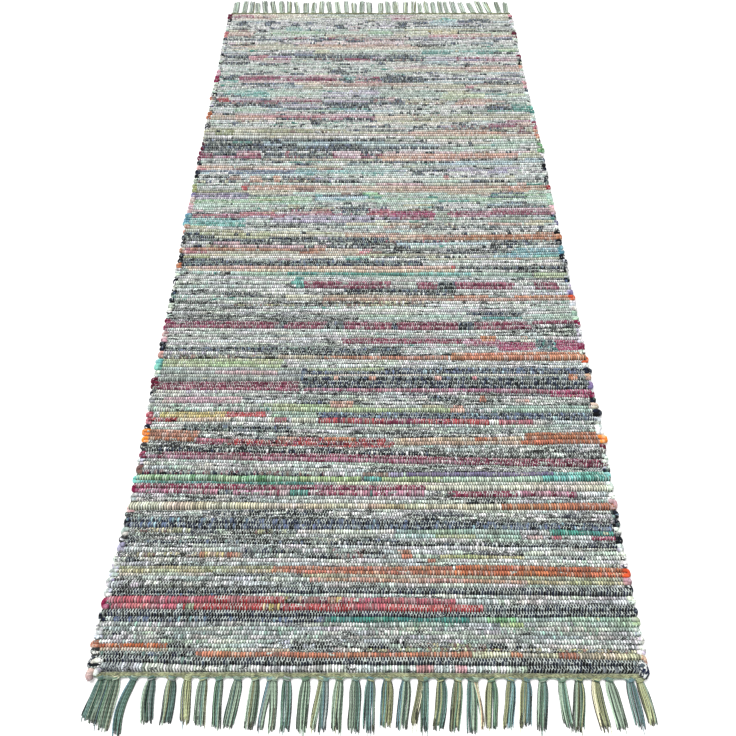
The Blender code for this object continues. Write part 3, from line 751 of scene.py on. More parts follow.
# Tassels: mm across of the root and of the tip, half width, length below the knot, and how
# far the middle is off line, then the yarns' colours
Tassel = namedtuple("Tassel", "root tip half length bow yarns")
NEAR_TASSELS = """
14 5 8 40 0.5 jade*2 pine*2 sage*1 jade*1
23 16.5 8 45 0 sage*2 fern*1 steel*1 sage*2
32 27 7.5 51 -0.5 fern*1 sage*2 pine*1 sage*1 sand*1
54 45 5.8 56 -5.5 steel*1 jade*2 pine*1 sage*1
76 78 8 44 -2.5 sage*2 grey*1 jade*1 pine*1 jade*2
101 101 7.5 45 0.5 grey*1 sage*1 moss*1 fern*1 jade*2
121 124.5 6.5 44 -1 steel*1 moss*2 hay*1 moss*1
141 142.5 7 46 -1 sage*3 jade*1 sage*1 moss*1
161 163 6 49 -1 fern*2 jade*2 sage*2
184 177.5 7.5 48 0.5 jade*1 sage*2 pine*1 sage*2
206 203 6.8 49 0.5 sage*1 moss*2 fern*1 sage*1
225 216.5 4.6 50 -1 steel*2 grey*1 sage*1
229 230 4.8 52 1 sage*2 sand*1 sage*1
245 246 7.2 51 0.5 jade*1 fern*1 grey*1 jade*2
269 266.5 7.2 52 -0.5 sage*2 fern*2 sage*1
289 279.5 4.4 51 -0.5 hay*1 moss*2 sage*1
293 291.5 5.6 51 0.5 jade*2 steel*1 grey*1
311 308 6.8 52 -1 sage*2 moss*1 fern*1 sage*1
331 330 7.5 52 0.5 sage*3 fern*1 jade*2
350 348 7.4 53 -0.5 jade*3 steel*1 moss*1 sage*1
371 368 8 46 0.5 steel*1 moss*1 fern*1 moss*2
394 388 7.6 48 0.5 steel*1 sage*2 pine*1 sage*2
414 402.5 4.4 46 -0.5 moss*2 sand*1
418 414.5 5.2 50 0.5 fern*1 jade*3
438 431 7.4 49 2.5 moss*1 hay*1 pine*1 jade*2
459 451 7.2 50 0.5 sage*1 moss*2 fern*1 sage*1
476 472 7.2 52 0.5 jade*2 sage*2 fern*1
480 485 2.6 47 2 sage*2 tan*1
501 495.5 8 48 0.5 moss*2 pine*1 hay*1 fern*1
525 516 6.8 47 0.5 moss*1 jade*2 steel*1
544 537 8 46 0.5 moss*2 jade*2 steel*1
565 557 6.8 49 0.5 sage*1 fern*2 sage*1 jade*1
589 590 6.2 46 -1 sage*1 jade*1 fern*1 sage*1
610 600.5 7.4 50 1 sage*2 moss*2 pine*1
631 635 7 50 -1.5 sand*1 moss*2 hay*1 pine*1
648 654 8 48 0.5 sage*1 jade*1 pine*1 sage*2
674 676.5 6.8 47 0 grey*1 jade*3 steel*1
686 692 6.5 44 1.5 moss*2 hay*1 moss*1 sage*1
"""
# The far end's: the root, how far the tip leans and the half width
FAR_TASSELS = [
    (12, 0, 8.0), (34, 0, 6.5), (52, -2, 6.5), (68, -5, 6.0), (88, -7, 7.0), (109, -8, 7.0),
    (129, -6, 7.5), (146, -3, 6.0), (167, -6, 6.5), (188, -2, 7.5), (206, 1, 6.5), (226, -1, 7.0),
    (248, -6, 6.5), (269, -6, 7.0), (289, -2, 5.5), (308, -2, 6.5), (326, 2, 7.0), (346, -2, 7.5),
    (373, 1, 7.0), (392, -1, 6.5), (411, 0, 8.0), (435, 2, 6.0), (455, 2, 6.5), (472, -1, 6.0),
    (489, -3, 6.0), (506, -1, 6.5), (523, -2, 6.0), (540, -5, 6.0), (558, -5, 7.0), (580, -7, 6.5),
    (604, -9, 7.0), (624, -7, 7.0), (645, -9, 7.0), (668, -4, 6.5), (685, 2, 6.5),
]
FAR_LENGTH_MM = (44, 52)
FAR_YARNS = "mist*3 sage*2 grey*1 moss*1 mist*2 pale*1"
TIP_REACH_MM = 9.5
NECK_HALF_MM = 4.3
FULL_AT = 0.30
TIP_FROM = 0.6
TIP_NARROWING = 0.08

# A tassel's loose yarns: a layer underneath in painted shade, a layer on it in painted light,
# and some wisps.
# Places go from -1 to 1 between the tassel's sides, and reaches are shares of its length.
YARN_RADIUS_MM = 0.82
YARNS_A_MM = 0.62
FEWEST_YARNS = 4
UNDER_JITTER = 0.08
UNDER_REACH = (0.90, 1.03)
UNDER_HEIGHT_MM = 0.2
UNDER_RADIUS = 1.15
UNDER_SHADE = (0.30, 0.62)
OVER_JITTER = 0.1
OVER_REACH = (0.88, 1.05)
OVER_HEIGHT_MM = (1.6, 2.6)
OVER_RADIUS = (0.62, 0.95)
OVER_LIGHT = (0.84, 1.42)
WISPS = 1.2
WISP_PLACE = 1.1
WISP_REACH = (1.0, 1.16)
WISP_HEIGHT_MM = 0.6
WISP_RADIUS = 0.55

# The way of one loose yarn
YARN_START_MM = 6.6
YARN_SPREAD = 0.12
YARN_SWAY_MM = (0.1, 0.8)
YARN_SWAYS = (4, 9)
YARN_HEAVE_MM = 0.25
YARN_HEAVES = (3, 7)
ANY_PHASE = (0, 6)
YARN_CROWN = 0.5
YARN_DROP = 0.65
YARN_UNEVENNESS = (0.1, 2)
YARN_TIP = 0.95
YARN_TIP_RADIUS = 0.7
YARN_ROOT_TONE = 0.82
YARN_TONE_RISE = 0.3
YARN_MIXING = 0.22
YARN_SIDES = 6
YARN_CELLS = (80, 15)
NEAR_STEPS = 12
FAR_STEPS = 7

# Rag cloth: its roughness and sheen, the print's dashes, flecks, folds with painted shade along
# them, and creases. Places on the weave are counted in floats across and rows along. A noise is
# its scale, detail and roughness.
RAG_SURFACE = (0.9, 0.04)
TURN_ALONG = 0.3
DASH_SIZE = (0.24, 1.7)
PRINT_NOISE = (1.0, 3.0, 0.65)
PRINT_REACH = 0.32
PRINT_EDGE = (0.66, 0.68)
PRINT_STRENGTH = 0.94
FLECK_NOISE = (240.0, 2.0, 0.7)
FLECK_REACH = 0.36
FLECK_EDGE = (0.70, 0.73)
FLECK_STRENGTH = 0.85
PALE_CLOTH = (0.12, 0.25)
PALE_FLECK = (0.75, 0.78, 0.76, 1)
DARK_FLECK = (0.02, 0.028, 0.04, 1)
FOLD_SIZE = (0.17, 2.6)
FOLD_NOISE = (1.6, 1.0, 0.5)
FOLD_MIDDLE = 0.5
FOLD_EDGE = (0.005, 0.022)
FOLD_SHADE = 0.18
FOLD_HEIGHT = 0.7
CREASE_NOISE = (700.0, 3.0, 0.6)
CREASE_TONE = (0.72, 1.18)
MID_NOISE = (0.3, 0.7)
RAG_BUMP = (0.6, 0.0006)

# The warp over the rags; over pale rags it is painted as lines of shade. A rise is a place's
# share of the way up its row. Grains of dark rag have a middle rise, a half width and a half height.
DARK_CLOTH = (0.08, 0.22)
MID_RISE = (0.40, 0.60)
LINE_HALF = (0.23, 0.15)
LINE_BLUR = 0.09
WARP_GROUP = 3.0
STRONG_WARP = 1.0
SAME_WARP = 0.4
LINE_STRENGTH = (0.88, 0.66)
THIRD_WIDER = 0.03
THIRD_STRONGER = 0.08
FAR_LINE_ROWS = (30, 180)
FAR_LINES = 0.55
LOWER_GRAIN = (0.30, 0.40, 0.34)
UPPER_GRAIN = (0.80, 0.37, 0.20)
GRAIN_POWERS = (2.0, 4.0)
GRAIN_SHIFT = 0.14
GRAIN_SIZES = ((0.75, 1.6), (0.5, 1.6))
GRAIN_SIZE_ROWS = (8, 45)
GRAIN_EDGE = (0.75, 1.15)
GRAIN_STRENGTH = 0.95
WARP_SHADOW = (0.22, 0.22, 0.22, 1)
WARP_SHADE_ON_PALE = 0.18
WARP_ON_DARK = 0.72
WARP_HEIGHT = -0.8
SPECKLE = (0.74, 1.24)
# Painted light: colours grow a little brighter from the 10th row to the 60th
GAIN_ROWS = (10, 60)
GAIN = (0.98, 1.06)

# Shading of the rows' valleys and crests
OFF_WARP_SHADE = ((0.12, 0.42), (0.0, 0.42))
DARK_SHADE = 0.12
FIRST_ROW = (0.5, 1.0)
FIRST_ROW_LIGHT = 0.7
FRONT_RISE = (0.04, 0.46)
FRONT_SHADE = 0.06
REAR_RISE = (0.80, 0.98)
REAR_SHADE = 0.42
CREST_RISE = 0.58
CREST_REACH = 0.28
CREST_LIGHT = 1.02

# Yarn: plies seen as slanted bands of painted light and shade, with fuzz
YARN_SURFACE = (0.92, 0.25)
PLIES = 2.0
TWIST_A_MM = 0.22
PLY_LIGHT_AND_SHADE = 0.2
PLY_HEIGHT = 0.5
FUZZ_NOISE = (1300.0, 2.0, 0.5)
FUZZ_TONE = (0.78, 1.2)
YARN_BUMP = (0.7, 0.0005)

SHEEN_ROUGHNESS = 0.5
SPECULAR = 0.15

# Floor and light
FLOOR_SIZE = 12
FLOOR_SURFACE = (0.9, 0.0)
FLOOR_COLOUR = (0.9, 0.9, 0.9, 1)
FLOOR_GLOW = 0.12
WHITE = (1, 1, 1, 1)
ROOM_LIGHT = 0.68
KEY_LIGHT = 3.2
KEY_WIDTH = 35
KEY_FROM = (-0.5, 0.75, 1.3)

# Camera, solved from the rug's corners in the photo
FOCAL_PX = 506.7
PICTURE_PX = 736
SENSOR_MM = 36
CAMERA_AT = (0.0016, -0.6385, 0.742)
CAMERA_TILT = 26.2
CAMERA_SHIFT = -3.9 / PICTURE_PX
NEAREST_SEEN = 0.01


def linear(values):
    """Screen values, from 0 to 1, as linear light, by the sRGB formula."""
    return np.where(values < 0.04045, values / 12.92, ((values + 0.055) / 1.055) ** 2.4)


def shade(name):
    """A named colour's screen values, lighter with a + at its end and darker with a -."""
    base = np.array(COLOURS[name.rstrip("+-")]) / BRIGHTEST
    if name.endswith("+"):
        return base + (shade("snow") - base) * LIGHTER
    if name.endswith("-"):
        return base * (1 - DARKER)
    return base


def read_shades(text):
    """Colours and their shares from words such as white*6."""
    names, weights = zip(*(word.split("*") for word in text.split()))
    shares = np.array(weights, float)
    return np.array([shade(name) for name in names]), shares / shares.sum()


def rag(name):
    """A rag by name. One that isn't listed is of that plain colour."""
    if name in RAGS:
        return RAGS[name]
    return Rag(SOLID_SHADES.format(name), SOLID_MARKS.format(name), *SOLID)


def span(text):
    """The two ends of a stretch such as 20-45."""
    low, high = text.split("-")
    return int(low), int(high)


def wobble(rng, count, size, step):
    """A smooth random curve between -size and size, with a new value every few items."""
    knots = rng.uniform(-1, 1, int(count / step) + 3)
    at = np.arange(count) / step
    low = at.astype(int)
    share = at - low
    share = share * share * (3 - 2 * share)
    return size * (knots[low] + (knots[low + 1] - knots[low]) * share)


def inset(share, margin):
    """A share moved in from both ends by a margin."""
    return margin + (1 - 2 * margin) * share


# ---- where the rows lie ----

def path_table():
    """The rows' strays at every mm across, smoothed, for each row of the table."""
    across = np.arange(WIDTH_MM + 1)
    kernel = np.ones(PATH_BLUR_MM) / PATH_BLUR_MM
    rows = []
    for _, *strays in ROW_PATHS:
        line = np.interp(across, STATIONS, [*strays[:2], 0, *strays[2:]])
        padded = np.pad(line, PATH_BLUR_MM // 2, mode="edge")
        rows.append(np.convolve(padded, kernel, mode="same")[PATH_BLUR_MM // 2:][:len(across)])
    return np.array([row[0] for row in ROW_PATHS], float), np.array(rows)


def straight_lines():
    """The lines between rows at mid width, from the listed ones."""
    gaps = np.diff(ROW_EDGES)
    rows = np.maximum(1, (gaps / ROW_MM + ROUND_UP).astype(int))
    while rows.sum() != ROWS:
        step = 1 if rows.sum() < ROWS else -1
        change = np.abs(np.log(gaps / np.maximum(rows + step, FEWEST_ROWS) / ROW_MM))
        rows[change.argmin()] += step
    counts = np.concatenate([[0], np.cumsum(rows)])
    return np.interp(np.arange(ROWS + 1), counts, ROW_EDGES)


def make_row_lines(rng):
    """The lines between rows: mm along the rug, for each line and each mm across."""
    straight = straight_lines()
    along, table = path_table()
    strays = np.array([np.interp(straight, along, column) for column in table.T]).T
    lines = straight[:, None] + strays
    for line in lines[1:-1]:
        line += wobble(rng, len(line), *WANDER) + wobble(rng, len(line), *FRAY)
    return straight, lines


ROW_STRAIGHT, ROW_LINES = make_row_lines(np.random.default_rng(SEED))


def edges_at(along):
    """The left and right selvedges, in mm across, at a place along the rug."""
    places, left, right = np.array(EDGE_ROWS, float).T
    return -np.interp(along, places, left), WIDTH_MM + np.interp(along, places, right)


def across_mm(floats, along):
    """Where places counted in warp floats lie, in mm across, at a place along the rug."""
    left, right = edges_at(along)
    return left + floats / FLOATS * (right - left)


def row_middle(row):
    """How far along the rug a row's middle lies."""
    return (ROW_STRAIGHT[row] + ROW_STRAIGHT[row + 1]) / 2


def end_line_mm(across, end):
    """Where the cloth ends at a place across the rug: end -1 is near and 1 is far."""
    return ROW_LINES[0 if end < 0 else -1][np.clip(int(across), 0, int(WIDTH_MM))]


# ---- rags in the rows ----

def grain_edges(row):
    """The warp floats of a row, counted across. Rows next to each other are half a step off."""
    if row % 2:
        return np.concatenate([[0], np.arange(FLOATS) + 0.5, [FLOATS]])
    return np.arange(FLOATS + 1, dtype=float)


def read_chart(text):
    """The chart's stripes: for each, the rag, and its stretches along and across."""
    stripes = []
    for line in text.strip().splitlines():
        if not line.startswith(" "):
            band, line = line.split(maxsplit=1)
        for item in line.strip(" ,").split(","):
            name, across = [*item.split(), RIGHT_ACROSS][:2]
            left, right = across.split("-")
            stripes.append((name, *span(band), int(left or stripes[-1][-1]), int(right)))
    return stripes


def ground_rags(rng, along):
    """A row's ground, as a list of (rag, left, right)."""
    far = rng.random() < along * MM / LENGTH * FAR_GROUND_GAIN - FAR_GROUND_START
    names, shares = zip(*(FAR_GROUND if far else NEAR_GROUND))
    at = -rng.uniform(0, GROUND_LEAD_MM)
    parts = []
    while at < WIDTH_MM:
        stop = at + rng.uniform(*GROUND_MM)
        parts.append((str(rng.choice(names, p=shares)), at, stop))
        at = stop
    return parts


def rags_of_rows(rng):
    """For each row, a list of (rag, left, right): the ground, and the stripes over it."""
    rows = [ground_rags(rng, along) for along in ROW_STRAIGHT[:-1]]
    for name, start, stop, left, right in read_chart(CHART):
        middle = int(np.clip((left + right) / 2, 0, WIDTH_MM))
        low, high = ROW_LINES[:-1, middle], ROW_LINES[1:, middle]
        shared = np.minimum(high, stop) - np.maximum(low, start)
        covered = np.flatnonzero(shared > STRIPE_SHARE * (high - low))
        if not len(covered):
            covered = [int(shared.argmax())]
        for row in covered:
            jitter = rng.uniform(-END_JITTER_MM, END_JITTER_MM, 2)
            rows[row].append((name, left + jitter[0], right + jitter[1]))
    return rows


def varied_shades(rng, cloth, count, far_light):
    """A rag's own colour at each grain, with all that varies from grain to grain."""
    shades, shares = read_shades(cloth.shades)
    ground = shades[rng.choice(len(shades), count, p=shares)]
    paler = rng.uniform(0, ROW_PALER) + rng.uniform(0, GRAIN_PALER, (count, 1))
    paler = paler * np.clip(ground.min(axis=1, keepdims=True) * PALER_BY_LIGHT, PALER_LEAST, 1)
    ground += (shade("white") - ground) * paler
    tones = 1 + cloth.tone * rng.uniform(-1, TONE_UP, (count, 1))
    ground *= (rng.uniform(*ROW_TONE) + far_light * rng.uniform(-FAR_ROW_TONE, FAR_ROW_TONE)) * tones
    return ground


def tinted_and_faded(rng, ground, far_light):
    """The grains' colours with slow changes of tint, and painted paler towards white as painted light at
    the far end.
    """
    tints = [wobble(rng, len(ground), *TINT) for _ in range(3)]
    ground = np.clip(ground * (1 + np.stack(tints, axis=1)), 0, 1)
    light = ground.mean(axis=1, keepdims=True)
    whitening = far_light * np.clip(light * PAINTED_LIGHT_BY_LIGHTNESS, PAINTED_LIGHT_LEAST, 1)
    ground = ground ** (1 - FAR_LIFT * far_light)
    return linear(np.clip(ground + (shade("snow") - ground) * whitening, 0, 1))


def colour_run(rng, name, count, far_light=0.0):
    """A rag's colours, grain by grain: colour and fleck, then the print's colour and share.

    The far light is how far they are all painted towards white, as painted light."""
    cloth = rag(name)
    ground = varied_shades(rng, cloth, count, far_light)
    marks, shares = read_shades(cloth.marks)
    runs = marks[rng.choice(len(marks), count // MARK_GRAINS + 1, p=shares)]
    colours = np.empty((count, 8))
    colours[:, :3] = tinted_and_faded(rng, ground, far_light)
    colours[:, 3] = cloth.fleck
    colours[:, 4:7] = linear(np.repeat(runs, MARK_GRAINS, axis=0)[:count])
    colours[:, 7] = cloth.share * (1 + wobble(rng, count, *MARK_SWING))
    return colours


def grain_colours(rng, parts, centres, along):
    """The colours of every grain in a row, painted a little paler at the rug's far end as painted light.
    """
    colours = np.zeros((len(centres), 8))
    far_light = FAR_PAINTED_LIGHT * np.clip(along * MM / LENGTH, 0, 1) ** PAINTED_LIGHT_POWER
    for name, left, right in parts:
        inside = np.flatnonzero((centres >= left) & (centres < right))
        if len(inside):
            colours[inside] = colour_run(rng, name, len(inside), far_light)
    return colours


# ---- meshes ----

def to_metres(points):
    """Points in mm from the left selvedge and the near end, as metres in the frame."""
    return (points - np.array([WIDTH_MM / 2, LENGTH_MM / 2, 0])) * MM


def quads_of(grid):
    """The four corners of every cell of a grid, in order round the cell."""
    return np.stack([grid[:-1, :-1], grid[1:, :-1], grid[1:, 1:], grid[:-1, 1:]], 2)


def mesh_object(name, points, quads, material, colours, maps):
    """A smooth mesh of quads, with point colours and its UV maps, given for each corner."""
    mesh = bpy.data.meshes.new(name)
    points = to_metres(np.concatenate(points))
    quads = np.concatenate(quads)
    mesh.vertices.add(len(points))
    mesh.vertices.foreach_set("co", points.astype(np.float32).ravel())
    mesh.loops.add(quads.size)
    mesh.loops.foreach_set("vertex_index", quads.astype(np.int32).ravel())
    mesh.polygons.add(len(quads))
    mesh.polygons.foreach_set("loop_start", np.arange(0, quads.size, 4, dtype=np.int32))
    mesh.update(calc_edges=True)
    mesh.shade_smooth()
    colours = np.concatenate(colours).astype(np.float32)
    for attribute_name, values in (("rag_colour", colours[:, :4]), ("rag_marks", colours[:, 4:])):
        attribute = mesh.color_attributes.new(attribute_name, "FLOAT_COLOR", "POINT")
        attribute.data.foreach_set("color", values.ravel())
    for map_name, corners in maps.items():
        layer = mesh.uv_layers.new(name=map_name, do_init=False)
        layer.uv.foreach_set("vector", np.concatenate(corners).astype(np.float32).ravel())
    mesh.materials.append(material)
    obj = bpy.data.objects.new(name, mesh)
    bpy.context.scene.collection.objects.link(obj)
    return obj


# ---- the cloth ----

def row_columns(row):
    """A row's columns of points, counted in floats, and 1 for each that lies in a groove."""
    edges = grain_edges(row)
    side = GROOVE_SHARE * np.diff(edges)
    columns = np.stack([edges[:-1], edges[:-1] + side, edges[1:] - side], axis=1).ravel()
    columns = np.append(columns, edges[-1])
    groove = np.zeros(len(columns))
    groove[::3] = 1
    return columns, groove


def row_points(row, columns, groove, rng):
    """One row's lower edge, crest and upper edge, as points in mm: (3, columns, 3)."""
    across = across_mm(columns, row_middle(row))
    at = np.clip(across, 0, WIDTH_MM)
    low, high = (np.interp(at, np.arange(len(line)), line) for line in ROW_LINES[row:row + 2])
    jitter = np.repeat(rng.uniform(-1, 1, len(columns) // 3), 3)
    lump = np.append(jitter, 0) * GRAIN_JITTER_MM
    lump += wobble(rng, len(columns), *LUMP)
    crest = VALLEY_MM + HEIGHT_PER_THICKNESS * (high - low) + lump - GROOVE_MM * groove
    stray = wobble(rng, len(columns), *CREST_STRAY)
    bulge = INTERLOCK_MM * (1 - 2 * groove) + OVERLAP_MM
    valley = VALLEY_MM - VALLEY_GROOVE_MM * groove
    points = np.empty((3, len(columns), 3))
    points[:, :, 0] = across
    points[:, :, 1] = (low - bulge * (row > 0), (low + high) / 2 + stray,
                       high + bulge * (row < ROWS - 1))
    points[:, :, 2] = (valley, crest, valley)
    points[:, [0, -1], 2] = END_MM
    if row == 0:
        points[0, :, 2] = END_MM
    if row == ROWS - 1:
        points[2, :, 2] = END_MM
    return points


def row_colours(grains, rng):
    """The colours (3, columns, 8) of a row's points: grooves have those of both sides."""
    colours = np.empty((3 * len(grains) + 1, 8))
    colours[1:-1:3] = grains
    colours[2::3] = grains
    colours[0], colours[-1] = grains[0], grains[-1]
    colours[3:-1:3] = (grains[:-1] + grains[1:]) / 2
    colours = np.repeat(colours[None], 3, axis=0)
    colours[:, :, :3] *= rng.uniform(*GRAIN_TONE, (*colours.shape[:2], 1))
    return colours


def strip_cut(strip, row):
    """Where a strip of the cloth starts, counted in floats, on a float of this row."""
    cut = round(FLOATS * strip / STRIPS)
    if row % 2 and 0 < cut < FLOATS:
        cut += 0.5
    return cut


def make_cloth(material, rng, row_rags):
    """The cloth's face in lengthwise strips, each cut along a warp float."""
    strips = [[] for _ in range(STRIPS)]
    for row in range(ROWS):
        edges = grain_edges(row)
        centres = across_mm((edges[:-1] + edges[1:]) / 2, row_middle(row))
        centres = np.clip(centres, 0, WIDTH_MM - INSIDE_MM)
        grains = grain_colours(rng, row_rags[row], centres, ROW_STRAIGHT[row])
        columns, groove = row_columns(row)
        points = row_points(row, columns, groove, rng)
        colours = row_colours(grains, rng)
        for strip in range(STRIPS):
            low, high = strip_cut(strip, row), strip_cut(strip + 1, row)
            inside = (columns > low - HAIR) & (columns < high + HAIR)
            strips[strip].append((row, columns[inside], points[:, inside], colours[:, inside]))
    return [cloth_strip(index, rows, material) for index, rows in enumerate(strips)]


def cloth_strip(strip, rows, material):
    """One strip's mesh. Its bake map has lengths of the strip side by side."""
    points, colours, quads, weave, bake = [], [], [], [], []
    count = 0
    first, last = strip_cut(strip, 0), strip_cut(strip + 1, 0)
    up = np.array([[0], [0.5], [1]])
    for row, columns, grid, shades in rows:
        index = np.arange(3 * len(columns)).reshape(3, -1)
        cells = quads_of(index)[:, :, [0, 3, 2, 1]].reshape(-1, 4)
        part, part_row = divmod(row, BAKE_ROWS)
        place = inset((columns - first) / (last - first), STRIP_MARGIN)
        for corners, u, v in ((weave, columns - 0.5 * (row % 2), row + up),
                              (bake, (part + place) / BAKE_LENGTHS, (part_row + up) / BAKE_ROWS)):
            uv = np.stack(np.broadcast_arrays(u, v), -1).reshape(-1, 2)
            corners.append(uv[cells.ravel()])
        points.append(grid.reshape(-1, 3))
        colours.append(shades.reshape(-1, 8))
        quads.append(cells + count)
        count += index.size
    return mesh_object(f"rag_rows_{strip + 1}", points, quads, material, colours,
                       {"OFBake": bake, "weave": weave})


def make_back(material, rng, row_rags):
    """The cloth's underside: the same rows seen from below, resting on the floor."""
    columns = np.linspace(0, FLOATS, BACK_COLUMNS)
    points, colours, weave, bake = [], [], [], []
    for half_row in range(2 * ROWS + 1):
        below, above = half_row // 2, (half_row + 1) // 2
        along = (ROW_STRAIGHT[below] + ROW_STRAIGHT[above]) / 2
        across = across_mm(columns, along)
        at = np.clip(across, 0, WIDTH_MM).astype(int)
        line = (ROW_LINES[below][at] + ROW_LINES[above][at]) / 2
        height = np.full(BACK_COLUMNS, 0.0 if half_row % 2 else BACK_RELIEF_MM)
        height[[0, -1]] = END_MM
        points.append(np.stack([across, line, height], -1))
        if half_row % 2 or not colours:
            grains = grain_colours(rng, row_rags[min(below, ROWS - 1)], at, along)
        colours.append(grains)
        weave.append(np.stack(np.broadcast_arrays(columns, half_row / 2), -1))
        bake.append(inset(weave[-1] / (FLOATS, ROWS), BACK_MARGIN))
    index = np.arange(len(points) * BACK_COLUMNS).reshape(-1, BACK_COLUMNS)
    quads = quads_of(index).reshape(-1, 4)
    maps = {name: [np.concatenate(rows)[quads.ravel()]]
            for name, rows in (("OFBake", bake), ("weave", weave))}
    return mesh_object("rag_back", points, [quads], material, colours, maps)


# ---- tubes for loops and yarns ----

def tube_points(path, radii, sides, up):
    """Rings of points round a path."""
    forward = np.gradient(path, axis=0)
    forward /= np.linalg.norm(forward, axis=1)[:, None]
    side = np.cross(forward, up)
    side /= np.linalg.norm(side, axis=1)[:, None]
    over = np.cross(side, forward)
    angle = np.arange(sides)[:, None] / sides * 2 * np.pi
    ring = np.cos(angle) * side[:, None] + np.sin(angle) * over[:, None]
    return path[:, None] + np.broadcast_to(radii, len(path))[:, None, None] * ring


def tube_quads(index):
    """A tube's faces, round its wall and over both ends, from its rings' point numbers."""
    wall = quads_of(np.hstack([index, index[:, :1]])).reshape(-1, 4)
    rank = np.arange(index.shape[1] // 2 - 1)
    cap = np.stack([rank, rank + 1, -2 - rank, -1 - rank], -1)
    return np.concatenate([wall, index[0][cap], index[-1][cap[:, ::-1]]])


def tube_corners(path, sides):
    """For each corner of a tube's faces, its turn round the tube and its mm along it."""
    lengths = np.linalg.norm(np.diff(path, axis=0), axis=1)
    along = np.concatenate([[0], np.cumsum(lengths)])
    around = np.arange(sides + 1) / sides
    wall = quads_of(np.stack(np.broadcast_arrays(around, along[:, None]), -1)).reshape(-1, 2)
    cap = np.tile([(turn, 0) for turn in CAP_TURNS], (sides // 2 - 1, 1))
    return np.concatenate([wall, cap, cap + (0, along[-1])])


class Tubes:
    """Gathers round tubes for one mesh, each with its own cell in the bake map."""

    def __init__(self, sides, cells):
        self.sides = sides
        self.cells = cells
        self.points, self.colours, self.quads, self.twist, self.bake = [], [], [], [], []
        self.count = 0

    def add(self, x, y, z, radii, colours, up=(0.0, 0.0, 1.0)):
        """A closed tube in mm along a path, with a radius and a colour at each point."""
        path = np.stack(np.broadcast_arrays(x, y, z), -1)
        rings = len(path)
        index = self.count + np.arange(rings * self.sides).reshape(rings, self.sides)
        corners = tube_corners(path, self.sides)
        row, column = divmod(len(self.quads), self.cells[0])
        cell = (column, row) + inset(corners / corners.max(axis=0), TUBE_MARGIN)
        self.bake.append(cell / self.cells)
        self.twist.append(corners)
        self.points.append(tube_points(path, radii, self.sides, up).reshape(-1, 3))
        self.colours.append(np.repeat(np.broadcast_to(colours, (rings, 8)), self.sides, axis=0))
        self.quads.append(tube_quads(index))
        self.count += index.size

    def build(self, name, material):
        """The mesh of all the tubes."""
        if len(self.quads) > self.cells[0] * self.cells[1]:
            raise ValueError(f"{name} has {len(self.quads)} tubes, too many for its bake map")
        return mesh_object(name, self.points, self.quads, material, self.colours,
                           {"OFBake": self.bake, "weave": self.twist})


# ---- selvedges and corners ----

def read_loops(text):
    """The listed loops of a selvedge."""
    loops = []
    for item in text.replace("\n", " ").strip(" ,").split(","):
        along, name, *bulge = item.split()
        loops.append(Loop(*span(along), name, float(*bulge) if bulge else USUAL_BULGE_MM))
    return loops


def loop_rag(loops, along, rng):
    """The rag of a selvedge loop at a place along the edge, and how far it stands out."""
    for loop in loops:
        if loop.start <= along < loop.stop:
            return loop.rag, loop.bulge
    return str(rng.choice(LOOSE_RAGS)), LOOSE_BULGE_MM


def make_loops(name, side, text, material, rng):
    """The weft's turns along one selvedge, each joining two rows: side -1 is the left."""
    tubes = Tubes(LOOP_SIDES, LOOP_CELLS)
    loops = read_loops(text)
    right = int(side > 0)
    for row in range(right, ROWS - 1, 2):
        lines = ROW_LINES[row:row + 3, int(WIDTH_MM) if right else 0]
        low, high = (lines[:-1] + lines[1:]) / 2
        rag_name, bulge = loop_rag(loops, (low + high) / 2, rng)
        edge = edges_at((low + high) / 2)[right]
        add_loop(tubes, side, edge, low, high, rag_name, bulge, rng)
    return tubes.build(name, material)


def add_loop(tubes, side, edge, low, high, rag_name, bulge, rng):
    """One turn of the weft: a crumpled arc of rag."""
    radius = LOOP_RADIUS_MM * rng.uniform(*LOOP_RADIUS_SHARE)
    reach = bulge * rng.uniform(*LOOP_REACH_SHARE) - radius
    turn = np.linspace(-1, 1, LOOP_STEPS)
    bend = np.clip(1 - np.abs(turn) ** LOOP_SQUARENESS, 0, 1)
    x = edge - side * LOOP_INSIDE_MM + side * (LOOP_INSIDE_MM + reach) * bend
    swing = np.sin(np.clip(turn * LOOP_TURN, -np.pi / 2, np.pi / 2))
    y = (low + high) / 2 + (high - low) / 2 * swing
    y = y + wobble(rng, LOOP_STEPS, *LOOP_CRUMPLE)
    radii = radius * (1 + wobble(rng, LOOP_STEPS, *LOOP_UNEVENNESS))
    z = radii + LOOP_LIFT_MM + np.abs(wobble(rng, LOOP_STEPS, *LOOP_HEAVE))
    radii = radii * np.where(np.abs(turn) > LOOP_TIP, LOOP_TIP_RADIUS, 1)
    tubes.add(x, y, z, radii, colour_run(rng, rag_name, LOOP_STEPS))


def make_corner_turns(material, rng):
    """The fat turns of rag at the near corners."""
    tubes = Tubes(CORNER_SIDES, CORNER_CELLS)
    for name, points, radius in CORNER_TURNS:
        places = np.arange(len(points))
        count = CORNER_STEPS * places[-1] + 1
        at = np.linspace(0, places[-1], count)
        x, y, z = (np.interp(at, places, column) for column in np.array(points, float).T)
        ends = np.sin(np.linspace(*CORNER_ENDS, count) * np.pi) ** 0.5
        radii = radius * ends * (1 + wobble(rng, count, *CORNER_UNEVENNESS))
        tubes.add(x, y, z, radii, colour_run(rng, name, count))
    return tubes.build("corner_turns", material)


# ---- fringe ----

def near_tassels():
    """The near end's tassels, from their list."""
    tassels = []
    for line in NEAR_TASSELS.strip().splitlines():
        *numbers, yarns = line.split(maxsplit=5)
        tassels.append(Tassel(*map(float, numbers), yarns))
    return tassels


def far_tassels(rng):
    """The far end's tassels, with their lengths drawn around an even one."""
    return [Tassel(root, root + lean, half, rng.uniform(*FAR_LENGTH_MM), 0.0, FAR_YARNS)
            for root, lean, half in FAR_TASSELS]


def yarn_grain(colour):
    """The eight colour values of a point of plain yarn."""
    return np.array([*colour, 0, *colour, 0])


